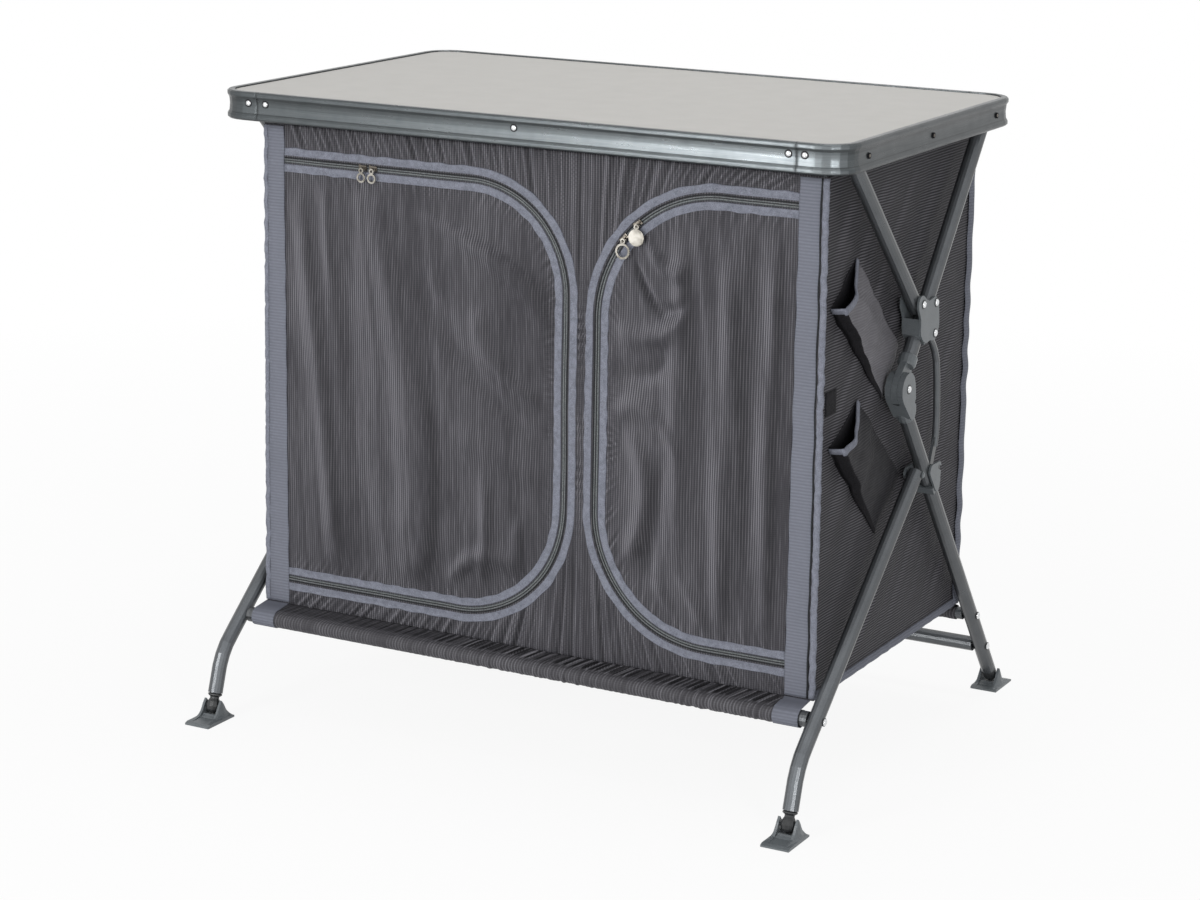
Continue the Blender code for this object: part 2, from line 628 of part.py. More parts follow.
def make_lower_bracket(label, side):
    x = side * FRAME_X
    name = f"lower_bracket_{label}"
    low_disc = (*BRACKET_LOW, BRACKET_LOW_RADIUS)
    lug_disc = (*STAY_HOOK, LUG_RADIUS)
    outer_line = hull_of_discs([low_disc, lug_disc, (*BRACKET_MIDDLE, BRACKET_RADIUS)])
    inner_line = hull_of_discs([(*LEG_PIVOT, BRACKET_RADIUS), low_disc, lug_disc])
    middle = PLATE_IN + PLATE_THICK / 2
    bracket = as_mesh(plate(name, [outer_line], PLATE_THICK, None, side_plane(x + side * middle)))
    bracket.data.materials.append(finish(f"{name}_nylon", *NYLON[1:]))
    inner_plane = side_plane(x - side * middle)
    inner = as_mesh(plate(f"{name}_inner", [inner_line], PLATE_THICK, None, inner_plane, cutters))
    (near, far), (left, right) = SADDLE_ENDS, SADDLE_SIDES
    spots = ((near, left), (near, right), (far, right), (far, left))
    saddle = [along(KNEE_AXES, LEG_RUN, *spot) for spot in spots]
    web = as_mesh(plate(f"{name}_web", [saddle], 2 * middle, None, side_plane(x), cutters))
    join(bracket, web)
    join(bracket, inner)
    bore = rod(f"{name}_bore", [at(x, leg_head), at(x, REAR_TUBE_END)], BORE, None, collection=cutters)
    cut(bracket, as_mesh(bore))
    notch_line = capsule(STAY_HOOK, STAY_HOOK + HOOK_EXIT * CROSS_CUT, HOOK_RADIUS + HOOK_PLAY)
    notch = plate(f"{name}_notch", [notch_line], 2 * CROSS_CUT, None, side_plane(x), cutters)
    cut(bracket, as_mesh(notch))
    join(bracket, headed_pin(f"{name}_pin", x, LEG_PIVOT, PLATE_FACE, TUBE_RADIUS + 3 * SEAT))
    return smooth(bracket)


# Locking stays: a bowed rod, flattened and hooked at its lower end
STAY_RADIUS = 0.0043
BLADE_TOP = (0.0846, 0.3897)
BLADE_RADIUS = 0.0051
BLADE_THICK = 0.0036
STAY_PATH = ((0.0333, 0.5391), (0.0390, 0.5352), (0.0490, 0.5282), (0.0610, 0.5180), (0.0710, 0.5060),
             (0.0780, 0.4920), (0.0822, 0.4700), (0.0850, 0.4450), (0.0866, 0.4200), (0.0866, 0.3980),
             (0.0835, 0.3820))


def make_stay(label, side):
    x = side * FRAME_X
    name = f"stay_{label}"
    stay = as_mesh(rod(name, [at(x, point) for point in STAY_PATH], STAY_RADIUS, None, sides=12))
    stay.data.materials.append(finish(f"{name}_painted", *STEEL_GREY[1:]))
    blade_line = capsule(STAY_HOOK, BLADE_TOP, BLADE_RADIUS)
    blade = plate(f"{name}_blade", [blade_line], BLADE_THICK, None, side_plane(x), cutters)
    join(stay, as_mesh(blade))
    reach = PLATE_IN + PLATE_THICK
    hook = cross_rod(f"{name}_hook", x - reach, x + reach, STAY_HOOK, HOOK_RADIUS, None, 8, cutters)
    join(stay, as_mesh(hook))
    cut(stay, cross_hole(f"{name}_hole", x, HUB_STAY_PIVOT, PIN_BORE))
    return smooth(stay)


for label, side in (("left", -1), ("right", 1)):
    make_lower_bracket(label, side)
    make_stay(label, side)


# Feet: a plug on the tube's end, and a pad that tilts on it
PLUG_RADIUS = 0.0092
PLUG_FLANGE = 0.0090
PLUG_WAIST = 0.0060
PLUG_SHOULDER = 0.0080
PLUG_STATIONS = (0.0012, 0.0030, 0.0052, 0.0075, 0.0110)
NOSE_TURNS = (30, 55, 75, 88)
PAD_X = 0.036
PAD_Y = 0.057
PAD_EDGE = 0.0040
HORN_TALL = 0.0265
HORN_SPREAD = 0.0095
CHEEK_IN = PLUG_RADIUS + 0.0008
CHEEK_OUT = 0.0132
CUP_RADIUS = PLUG_RADIUS + 0.0010
FOOT_PIN = 0.0022
FLARE = 1.7
SADDLE_SHARE = 0.45
PAD_COLUMNS = (PAD_X / 2, 0.0156, CHEEK_OUT, CHEEK_IN + 0.0001, CHEEK_IN, 0.0050)
PAD_ROWS = (0.0050, 0.0078, 0.0102, 0.0150)
PAD_BORDER = 0.0045
BORDER_SHARE = 0.6


def make_plug(name, side, tube_end, pivot, waisted):
    """A shank from the tube's end to a round nose, bored for the pad's pin; the front ones are waisted."""
    heading = (pivot - tube_end).normalized()
    reach = (pivot - tube_end).length
    if waisted:
        widths = (PLUG_FLANGE, PLUG_FLANGE, PLUG_WAIST, PLUG_WAIST, PLUG_SHOULDER)
        stations = [(SEAT, PLUG_WAIST), *zip(PLUG_STATIONS, widths), (reach - PLUG_STATIONS[0], PLUG_RADIUS)]
    else:
        stations = [(SEAT, PLUG_RADIUS), (reach / 2, PLUG_RADIUS)]
    stations.append((reach, PLUG_RADIUS))
    for angle in NOSE_TURNS:
        turn = math.radians(angle)
        stations.append((reach + PLUG_RADIUS * math.sin(turn), PLUG_RADIUS * math.cos(turn)))
    x = side * FRAME_X
    points = [at(x, tube_end + heading * distance) for distance, _ in stations]
    plug = as_mesh(rod(name, points, PLUG_RADIUS, None, [radius for _, radius in stations], 12))
    plug.data.materials.append(finish(f"{name}_nylon", *BLACK_NYLON[1:]))
    cut(plug, cross_hole(f"{name}_hole", x, pivot, FOOT_PIN + SEAT))
    return smooth(plug)


def pad_height(across, off, pivot_z):
    """The pad's height: two horns beside the pin, swept down to its edges, with a cup between them."""
    horn = PAD_EDGE + (HORN_TALL - PAD_EDGE) * math.exp(-(abs(off) / HORN_SPREAD) ** FLARE)
    if across > CHEEK_IN:
        fall = min(1.0, (PAD_X / 2 - across) / (PAD_X / 2 - CHEEK_OUT))
        return PAD_EDGE + (horn - PAD_EDGE) * fall ** FLARE
    wall = PAD_EDGE + (horn - PAD_EDGE) * SADDLE_SHARE
    if abs(off) < CUP_RADIUS:
        wall = min(wall, pivot_z - math.sqrt(CUP_RADIUS ** 2 - off ** 2))
    return wall


def make_pad(name, side, pivot, centre_y):
    """A moulded pad: a grid of heights over its footprint, closed by a skirt and a flat underside."""
    half_y = PAD_Y / 2
    columns = sorted([0.0, *PAD_COLUMNS, *(-column for column in PAD_COLUMNS)])
    offsets = [0.0, *PAD_ROWS, *(-row for row in PAD_ROWS)]
    near = [pivot.x - centre_y + offset for offset in offsets]
    ends = [-half_y, PAD_BORDER - half_y, half_y - PAD_BORDER, half_y]
    rows = sorted(ends + [row for row in near if abs(row) < half_y - 1.5 * PAD_BORDER])
    mesh = bpy.data.meshes.new(name)
    body = bmesh.new()
    upper, lower = [], []
    for row in rows:
        line, under = [], []
        for column in columns:
            spot = (side * FRAME_X + column, centre_y + row)
            height = pad_height(abs(column), row + centre_y - pivot.x, pivot.y)
            if abs(row) == half_y:
                height = PAD_EDGE * BORDER_SHARE
            line.append(body.verts.new((*spot, height)))
            under.append(body.verts.new((*spot, 0.0)))
        upper.append(line)
        lower.append(under)
    last_row, last_column = len(rows) - 1, len(columns) - 1
    for row in range(last_row):
        for column in range(last_column):
            body.faces.new((upper[row][column], upper[row][column + 1], upper[row + 1][column + 1],
                            upper[row + 1][column]))
    edge = [(0, column) for column in range(last_column)] + [(row, last_column) for row in range(last_row)]
    edge += [(last_row, column) for column in range(last_column, 0, -1)]
    edge += [(row, 0) for row in range(last_row, 0, -1)]
    for (row, column), (next_row, next_column) in zip(edge, edge[1:] + edge[:1]):
        body.faces.new((upper[row][column], lower[row][column], lower[next_row][next_column],
                        upper[next_row][next_column]))
    body.faces.new([lower[row][column] for row, column in edge])
    inner = [vertex for vertex in body.verts if not vertex.link_faces]
    bmesh.ops.delete(body, geom=inner, context="VERTS")
    bmesh.ops.recalc_face_normals(body, faces=body.faces)
    body.to_mesh(mesh)
    body.free()
    pad = place(mesh, name, NYLON)
    reach = (CHEEK_IN + CHEEK_OUT) / 2
    x = side * FRAME_X
    join(pad, as_mesh(cross_rod(f"{name}_pin", x - reach, x + reach, pivot, FOOT_PIN, None, 10, cutters)))
    return smooth(pad)


PAD_CENTRE_Y = 0.326
for label, side in (("left", -1), ("right", 1)):
    make_plug(f"foot_plug_front_{label}", side, FRONT_TUBE_END, FRONT_FOOT_PIVOT, True)
    make_plug(f"foot_plug_rear_{label}", side, REAR_TUBE_END, REAR_FOOT_PIVOT, False)
    make_pad(f"foot_pad_front_{label}", side, FRONT_FOOT_PIVOT, -PAD_CENTRE_Y)
    make_pad(f"foot_pad_rear_{label}", side, REAR_FOOT_PIVOT, PAD_CENTRE_Y)


# Fabric case
def door_outline(door, inset=0.0, steps=8):
    """The outline of a door or its opening: straight at the hinge, round at the two free corners."""
    outer, inner, top, bottom, top_radius, bottom_radius = door
    way = 1 if inner > outer else -1
    outer += way * inset
    inner -= way * inset
    top -= inset
    bottom += inset
    top_radius -= inset
    bottom_radius -= inset
    upper = arc((0, 0), top_radius, 90, 0, steps)
    lower = arc((0, 0), bottom_radius, 0, -90, steps)
    outline = [(outer, bottom), (outer, top)]
    outline += [(inner - way * top_radius + way * px, top - top_radius + pz) for px, pz in upper]
    outline += [(inner - way * bottom_radius + way * px, bottom + bottom_radius + pz) for px, pz in lower]
    return outline


def rectangle(low, high):
    return [(low[0], low[1]), (high[0], low[1]), (high[0], high[1]), (low[0], high[1])]


FRONT_Y = -CASE_Y + CLOTH / 2
INSIDE_X = CASE_X - CLOTH - SEAT
INSIDE_Y = CASE_Y - CLOTH - SEAT
front_panel = as_mesh(plate("front_panel", [rectangle((-CASE_X, CASE_BOTTOM), (CASE_X, CASE_TOP)),
                                            door_outline(DOOR_LEFT), door_outline(DOOR_RIGHT)],
                            CLOTH, None, front_plane(FRONT_Y)))
front_panel.data.materials.append(finish("front_panel_cloth", *CLOTH_GREY[1:]))
plate("back_panel", [rectangle((-CASE_X, CASE_BOTTOM), (CASE_X, CASE_TOP))], CLOTH, CLOTH_GREY,
      front_plane(CASE_Y - CLOTH / 2))
for label, side in (("left", -1), ("right", 1)):
    panel = rectangle((-INSIDE_Y, CASE_BOTTOM), (INSIDE_Y, CASE_TOP))
    plate(f"side_panel_{label}", [panel], CLOTH, CLOTH_GREY, side_plane(side * (CASE_X - CLOTH / 2)))
    strip = rectangle((min(side * TAPE_X[0], side * TAPE_X[1]), CASE_BOTTOM),
                      (max(side * TAPE_X[0], side * TAPE_X[1]), CASE_TOP))
    tape_plane = front_plane(-CASE_Y + (CLOTH / 2 - TAPE) / 2)
    tape = plate(f"tape_{label}", [strip], TAPE + CLOTH / 2, None, tape_plane, cutters)
    join(front_panel, as_mesh(tape))


def block(name, low, high, look):
    mesh = bpy.data.meshes.new(name)
    body = bmesh.new()
    size = Vector(high) - Vector(low)
    middle = (Vector(high) + Vector(low)) / 2
    bmesh.ops.create_cube(body, size=1.0, matrix=Matrix.Translation(middle) @ Matrix.Diagonal((*size, 1.0)))
    body.to_mesh(mesh)
    body.free()
    return place(mesh, name, look)


DECK_TOP = CASE_BOTTOM + SHELF
divider_low = DIVIDER_X - DIVIDER / 2
divider_high = DIVIDER_X + DIVIDER / 2
block("floor_deck", (-INSIDE_X, -INSIDE_Y, CASE_BOTTOM), (INSIDE_X, INSIDE_Y, DECK_TOP), CLOTH_GREY)
block("divider", (divider_low, -INSIDE_Y, DECK_TOP + SEAT), (divider_high, INSIDE_Y, CASE_TOP), CLOTH_GREY)
shelf_top = SHELF_Z + SHELF
block("shelf_left", (-INSIDE_X, -INSIDE_Y, SHELF_Z), (divider_low - SEAT, INSIDE_Y, shelf_top), CLOTH_GREY)
block("shelf_right", (divider_high + SEAT, -INSIDE_Y, SHELF_Z), (INSIDE_X, INSIDE_Y, shelf_top), CLOTH_GREY)

# Doors: their origins are on their hinge lines
DOOR_HINGE_Y = -0.2245
for name, door in (("door_left", DOOR_LEFT), ("door_right", DOOR_RIGHT)):
    hinge_x = door[0]
    outline = [(x - hinge_x, z) for x, z in door_outline(door, DOOR_GAP)]
    leaf = as_mesh(plate(name, [outline], CLOTH, None, front_plane(FRONT_Y - DOOR_HINGE_Y)))
    leaf.data.transform(leaf.matrix_world)
    leaf.matrix_world = Matrix.Translation((hinge_x, DOOR_HINGE_Y, 0))
    leaf.data.materials.append(finish(f"{name}_cloth", *CLOTH_GREY[1:]))

# Sleeves that wrap the two lower bars and run up to the case
SLEEVE_WALL = 0.0015
SLEEVE_X = 0.386


def make_sleeve(name, bar, bar_radius, rim, way):
    """A loop of cloth round a bar and a flap up to the case's lower edge, drawn in the Y-Z plane."""
    inner = bar_radius + SEAT
    outer = inner + SLEEVE_WALL
    top = math.degrees(math.atan2(rim[1] - bar.y, rim[0] - bar.x))
    lift = math.degrees(math.asin(outer / (Vector(rim) - bar).length))
    reach = math.sqrt((Vector(rim) - bar).length_squared - outer * outer)
    touch = top + way * (90 - lift)
    ring = arc(bar, outer, touch, touch + way * (360 - 16), 20)
    tip = Vector(rim)
    heading = (tip - Vector(ring[0])).normalized()
    across = Vector((heading.y, -heading.x)) * way * SLEEVE_WALL
    end = Vector(ring[0]) + heading * reach
    outline = [ring[0], tuple(end), tuple(end + across)]
    outline += list(reversed(ring[1:]))
    hole = arc(bar, inner, 0, 342, 19)
    return plate(name, [outline, hole], 2 * SLEEVE_X, CLOTH_GREY, side_plane(0.0))


make_sleeve("front_bar_sleeve", FRONT_BAR, TUBE_RADIUS, (-CASE_Y - 0.0006, CASE_BOTTOM - 0.0015), 1)
make_sleeve("rear_bar_sleeve", REAR_BAR, BAR_RADIUS, (CASE_Y + 0.0006, CASE_BOTTOM - 0.0015), -1)


# Side pockets: cloth pouches, sewn on three sides and open along the fourth
POCKETS = {"upper": ((-0.129, 0.648), (-0.202, 0.603), (-0.056, 0.466), (-0.012, 0.530)),
           "lower": ((-0.121, 0.477), (-0.198, 0.440), (-0.072, 0.305), (0.000, 0.365))}
POCKET_BULGE = 0.020
POCKET_WALL = 0.0015


def make_pocket(label, corners):
    """A bulged sheet between four corners: the mouth runs from the second to the first."""
    steps = 8
    top, tip, low, right = [Vector(corner) for corner in corners]
    mesh = bpy.data.meshes.new(f"side_pocket_{label}")
    body = bmesh.new()
    grid = []
    for row in range(steps + 1):
        down = row / steps
        line = []
        for column in range(steps + 1):
            across = column / steps
            spot = tip.lerp(top, across).lerp(low.lerp(right, across), down)
            swell = POCKET_BULGE * math.sin(math.pi * across) ** 1.5 * math.cos(math.pi / 2 * down) ** 1.2
            line.append(body.verts.new((CASE_X + SEAT + POCKET_WALL + swell, spot.x, spot.y)))
        grid.append(line)
    for row in range(steps):
        for column in range(steps):
            body.faces.new((grid[row][column], grid[row][column + 1], grid[row + 1][column + 1],
                            grid[row + 1][column]))
    body.faces.ensure_lookup_table()
    body.normal_update()
    if body.faces[0].normal.x < 0:
        bmesh.ops.reverse_faces(body, faces=body.faces)
    body.to_mesh(mesh)
    body.free()
    pocket = place(mesh, mesh.name, CLOTH_GREY)
    modify(pocket, "SOLIDIFY", thickness=POCKET_WALL, offset=-1.0, use_even_offset=False)
    return smooth(pocket)


for label, corners in POCKETS.items():
    make_pocket(label, corners)

# Zip sliders and pulls
SLIDER_Y = -CASE_Y - 0.0012
SLIDER_SIZE = Vector((0.0110, 0.0022, 0.0085))
SLIDER_WAIST = 0.34
WAIST_AT = 0.2
BRIDGE_SEAT = 0.0001
BRIDGE_HALF = 0.0040
BRIDGE_FOOT = 0.0012
BRIDGE_WIDE = 0.0016
BRIDGE_RISE = Vector((0.0012, 0.0022))
PULL_GAP = 0.0056
PULL_THICK = 0.0015
EYE_THICK = 0.00135
TOP_RUN_Z = DOOR_LEFT[2]
ARC_CENTRE = Vector((DOOR_RIGHT[1] + DOOR_RIGHT[4], DOOR_RIGHT[2] - DOOR_RIGHT[4]))
ARC_RADIUS = DOOR_RIGHT[4]
SLIDER_ANGLES = (141.0, 131.8)
SLIDER_XS = (-0.2345, -0.2195)


def make_slider(name, x, z, turn):
    """A wedge-waisted slider body with a bridge over it, turned along the zip."""
    half, thick, wide = SLIDER_SIZE.x / 2, SLIDER_SIZE.y, SLIDER_SIZE.z / 2
    waist, waist_at = SLIDER_SIZE.z * SLIDER_WAIST, half * WAIST_AT
    outline = [(-half, -wide), (-waist_at, -waist), (half, -waist), (half, waist), (-waist_at, waist),
               (-half, wide)]
    place_at = Matrix.Translation((x, 0, z)) @ Matrix.Rotation(-turn, 4, "Y")
    plane = place_at @ front_plane(SLIDER_Y - thick / 2)
    slider = as_mesh(plate(name, [outline], thick, None, plane))
    slider.data.materials.append(finish(f"{name}_nickel", *NICKEL[1:]))
    outer, inner = BRIDGE_HALF, BRIDGE_HALF - BRIDGE_FOOT
    under, over = -BRIDGE_RISE
    bridge = [(-outer, 0.0), (-outer, over), (outer, over), (outer, 0.0), (inner, 0.0), (inner, under),
              (-inner, under), (-inner, 0.0)]
    bridge_plane = place_at @ Matrix.Translation((0, SLIDER_Y - thick + BRIDGE_SEAT, 0))
    join(slider, as_mesh(plate(f"{name}_bridge", [bridge], BRIDGE_WIDE, None, bridge_plane, cutters)))
    return slider


EYE_RADIUS = 0.0034
EYE_HOLE = 0.0016
EYE_DROP = 0.0029
PULLS = {"small": (0.0062, 0.0040, 0.0118), "ring": (0.0095, 0.0070, 0.0150), "disc": (0.0102, 0.0, 0.0157)}


def make_pull(name, x, z, shape):
    """A ring or disc that hangs in front of its slider from a round eye."""
    radius, bore, drop = PULLS[shape]
    hinge = Matrix.Translation((x, SLIDER_Y - PULL_GAP, z))
    outlines = [arc((0, -drop), radius, -270, 90, 20)[:-1]]
    if bore:
        outlines.append(arc((0, -drop), bore, 0, 342, 19))
    pull = as_mesh(plate(name, outlines, PULL_THICK, None, front_plane(0.0)))
    pull.data.transform(pull.matrix_world)
    pull.matrix_world = hinge
    pull.data.materials.append(finish(f"{name}_nickel", *NICKEL[1:]))
    eye = [arc((0, -EYE_DROP), EYE_RADIUS, -270, 90, 12)[:-1], arc((0, -EYE_DROP), EYE_HOLE, 0, 330, 11)]
    join(pull, as_mesh(plate(f"{name}_eye", eye, EYE_THICK, None, hinge @ front_plane(0.0), cutters)))
    return pull


for label, x in zip(("a", "b"), SLIDER_XS):
    make_slider(f"zip_slider_left_{label}", x, TOP_RUN_Z, 0.0)
    make_pull(f"zip_pull_left_{label}", x, TOP_RUN_Z, "small")
for label, angle, shape in zip(("a", "b"), SLIDER_ANGLES, ("ring", "disc")):
    heading = math.radians(angle)
    x = ARC_CENTRE.x + ARC_RADIUS * math.cos(heading)
    z = ARC_CENTRE.y + ARC_RADIUS * math.sin(heading)
    make_slider(f"zip_slider_right_{label}", x, z, heading - math.pi / 2)
    make_pull(f"zip_pull_right_{label}", x, z, shape)
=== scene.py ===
"""Looks of the camping cupboard: its cloth, tapes, zips, metal and moulded parts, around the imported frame.

Metres, in the frame's own axes: +X along the front, +Y to the rear, +Z up.
"""
import math

import bmesh
import bpy
import numpy as np
from mathutils import Matrix, Vector, geometry, kdtree


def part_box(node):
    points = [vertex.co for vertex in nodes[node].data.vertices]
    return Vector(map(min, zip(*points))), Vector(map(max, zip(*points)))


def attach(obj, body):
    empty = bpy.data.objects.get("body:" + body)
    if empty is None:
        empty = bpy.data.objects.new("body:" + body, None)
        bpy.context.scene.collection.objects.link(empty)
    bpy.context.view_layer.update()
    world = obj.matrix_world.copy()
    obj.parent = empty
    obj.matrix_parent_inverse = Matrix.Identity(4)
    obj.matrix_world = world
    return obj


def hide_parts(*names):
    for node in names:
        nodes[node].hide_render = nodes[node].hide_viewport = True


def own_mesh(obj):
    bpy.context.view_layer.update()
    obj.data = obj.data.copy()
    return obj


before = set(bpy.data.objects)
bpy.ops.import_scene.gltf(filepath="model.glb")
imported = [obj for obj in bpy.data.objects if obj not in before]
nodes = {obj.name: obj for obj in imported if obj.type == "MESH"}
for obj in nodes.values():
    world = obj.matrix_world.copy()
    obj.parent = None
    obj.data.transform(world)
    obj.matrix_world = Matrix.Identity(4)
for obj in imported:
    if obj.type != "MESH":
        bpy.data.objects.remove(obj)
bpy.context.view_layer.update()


# Places that come from the frame
def rounded(*values):
    return tuple(round(value, 4) for value in values)


def bar_section(node):
    """Middle and radius of a bar that runs across: y, z and radius."""
    low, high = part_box(node)
    return rounded((low.y + high.y) / 2, (low.z + high.z) / 2, (high.z - low.z) / 2)


CASE_X, CASE_Y, CASE_TOP = rounded(*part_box("back_panel")[1])
CASE_BOTTOM = rounded(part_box("back_panel")[0].z)[0]
FRONT_BAR = bar_section("front_lower_bar")
REAR_BAR = bar_section("rear_fabric_bar")
CROSS_BAR = bar_section("rear_cross_bar")
FRAME_X = rounded(sum(corner.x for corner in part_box("hub_bracket_right")) / 2)[0]
RIM_X, RIM_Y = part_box("rim_right")[1].x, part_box("rim_rear")[1].y
RIM_LOW, RIM_HIGH = rounded(*(corner.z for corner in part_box("rim_front")))

# Places of the doors' zips
HINGE_X = 0.351
DOORS = {
    "left": dict(outer=-HINGE_X, inner=0.051, top=0.714, bottom=0.172, top_radius=0.13, bottom_radius=0.15),
    "right": dict(outer=HINGE_X, inner=0.093, top=0.722, bottom=0.176, top_radius=0.16, bottom_radius=0.15),
}
SIDES = (("left", -1), ("right", 1))

# Camera of the photograph
LENS = 89.07
SENSOR = 36.0
EYE = Vector((1.729, -3.2551, 1.282))
LOOK = Vector((-0.4586, 0.8535, -0.2475)).normalized()
ROLL = math.radians(0.882)


def make_camera():
    right = LOOK.cross(Vector((0, 0, 1))).normalized()
    up = right.cross(LOOK)
    across = right * math.cos(ROLL) + up * math.sin(ROLL)
    upward = up * math.cos(ROLL) - right * math.sin(ROLL)
    data = bpy.data.cameras.new("camera")
    data.lens = LENS
    data.sensor_width = SENSOR
    camera = bpy.data.objects.new("camera", data)
    turn = Matrix((across, upward, -LOOK)).transposed().to_4x4()
    camera.matrix_world = Matrix.Translation(EYE) @ turn
    bpy.context.scene.collection.objects.link(camera)
    bpy.context.scene.camera = camera


make_camera()

# Materials
LOOKS = {}
WAVE_UNIT = math.pi / 10
CORD_PITCH, WEAVE_PITCH, TAPE_PITCH = 0.00338, 0.0025, 0.0039
SLEEVE_PITCH, SLEEVE_SLANT = 0.0042, 0.4
WEAVE_SHARE, LEAST_THREAD = 0.12, 0.05
FLECKS = {"X": (300, 200, 26), "Z": (200, 26, 300)}
PATCHES = {"X": (20, 20, 5), "Z": (8, 8, 20)}
NOISE_SPAN = (0.35, 0.65)
# The rim's bands are painted reflections and shade of its profile: its colour is made lighter and darker by
# height, at its lips, its hollow and its groove.
RIM_PAINTED_BANDS = [(0.0, 0.65), (0.05, 0.95), (0.22, 0.95), (0.245, 0.55), (0.27, 0.97), (0.6, 0.97), (0.68, 0.72),
             (0.8, 0.72), (0.86, 1.0), (1.0, 1.0)]
# Painted sheen of the rim and the tubes: their colour is raised where they face the viewer and lowered
# towards their edges, as painted highlight and shade.
RIM_PAINTED_SHEEN = [(0.0, 1.6), (0.1, 1.4), (0.19, 0.85), (0.6, 0.56), (1.0, 0.5)]
TUBE_PAINTED_SHEEN = [(0.0, 1.5), (0.1, 1.3), (0.28, 0.9), (0.6, 0.5), (0.88, 0.26), (1.0, 0.22)]
FINE = [(700, 1.0)]
SMOOTH = [(90, 1.0)]


def set_inputs(tree, node, inputs):
    """Give a shader node's inputs, by name or number, a value or the output socket that feeds them."""
    for key, value in inputs.items():
        if isinstance(value, bpy.types.NodeSocket):
            tree.links.new(value, node.inputs[key])
        else:
            node.inputs[key].default_value = value


def add_node(tree, kind, inputs=None, **settings):
    node = tree.nodes.new(f"ShaderNode{kind}")
    for key, value in settings.items():
        setattr(node, key, value)
    set_inputs(tree, node, inputs or {})
    return node


def calc(tree, operation, *values):
    """A math node's result over its values or sockets."""
    return add_node(tree, "Math", dict(enumerate(values)), operation=operation).outputs[0]


def remap(tree, value, *limits):
    """A value taken from a span with these limits to a span with the next two, or to 0 to 1."""
    return add_node(tree, "MapRange", dict(enumerate((value, *limits)))).outputs[0]


def own_place(tree):
    return add_node(tree, "TexCoord").outputs["Object"]


def noise(tree, place, scale):
    """Noise over the object's own coordinates, stretched by one scale per metre or by one for each axis."""
    scale = (scale,) * 3 if np.isscalar(scale) else scale
    stretched = add_node(tree, "VectorMath", {0: place, 1: scale}, operation="MULTIPLY").outputs[0]
    return add_node(tree, "TexNoise", {"Vector": stretched, "Scale": 1.0}).outputs[0]


def ribs(tree, place, axis, pitch):
    """Even waves across an axis, from 0 between them to 1 on their crests."""
    inputs = {"Vector": place, "Scale": WAVE_UNIT / pitch}
    return add_node(tree, "TexWave", inputs, bands_direction=axis).outputs[1]


def layered(tree, layers):
    """The weighted sum of noises over the object's own coordinates."""
    place = own_place(tree)
    total = 0.0
    for scale, weight in layers:
        total = calc(tree, "MULTIPLY_ADD", noise(tree, place, scale), weight, total)
    return total


def ramp(tree, value, stops):
    """A grey ramp through (position, level) stops."""
    node = add_node(tree, "ValToRGB", {"Fac": value})
    elements = node.color_ramp.elements
    while len(elements) < len(stops):
        elements.new(0.5)
    for element, (position, level) in zip(elements, stops):
        element.position = position
        element.color = (level, level, level, 1.0)
    return node.outputs[0]


def new_look(name, roughness, metallic=0.0, specular=0.5, coat=0.0):
    material = bpy.data.materials.new(name)
    material.use_nodes = True
    tree = material.node_tree
    shader = tree.nodes["Principled BSDF"]
    set_inputs(tree, shader, {"Roughness": roughness, "Metallic": metallic, "Specular IOR Level": specular,
                              "Coat Weight": coat, "Coat Roughness": 0.2})
    LOOKS[name] = material
    return tree, shader


def mix_colours(tree, share, low, high):
    inputs = {0: share, 6: (*low, 1.0), 7: (*high, 1.0)}
    return add_node(tree, "Mix", inputs, data_type="RGBA").outputs[2]


def scale_colour(tree, colour, level):
    return add_node(tree, "VectorMath", {0: colour, "Scale": level}, operation="SCALE").outputs[0]


def add_relief(tree, shader, depth, height):
    relief = add_node(tree, "Bump", {"Strength": 1.0, "Distance": depth, "Height": height})
    set_inputs(tree, shader, {"Normal": relief.outputs[0]})


def make_look(name, low, high, layers, roughness, bump=0.0, shine=0.0, bands=None, turned=None, soft_edge=0.0,
              **finish):
    """A finish between two colours over layered noise, with bump, painted reflections and shade in bands by
    height, and a painted sheen by turning: lighter where the surface faces the viewer and darker at its
    edges.
    """
    tree, shader = new_look(name, roughness, **finish)
    pattern = layered(tree, layers)
    share = remap(tree, pattern, *NOISE_SPAN)
    colour = mix_colours(tree, share, low, high)
    # Painted reflections and shade in bands by height.
    if bands:
        height = add_node(tree, "SeparateXYZ", {0: own_place(tree)}).outputs[2]
        colour = scale_colour(tree, colour, ramp(tree, remap(tree, height, RIM_LOW, RIM_HIGH), bands))
    # Painted highlight and shade by the angle of view.
    if turned:
        facing = add_node(tree, "LayerWeight", {"Blend": 0.5}).outputs["Facing"]
        colour = scale_colour(tree, colour, ramp(tree, facing, turned))
    set_inputs(tree, shader, {"Base Color": colour})
    if shine:
        rough = remap(tree, share, 0.0, 1.0, roughness + shine, roughness - shine)
        set_inputs(tree, shader, {"Roughness": rough})
    if bump:
        add_relief(tree, shader, bump, pattern)
    if soft_edge:
        edge = add_node(tree, "Bevel", {"Radius": soft_edge}, samples=8)
        set_inputs(tree, shader, {"Normal": edge.outputs[0]})


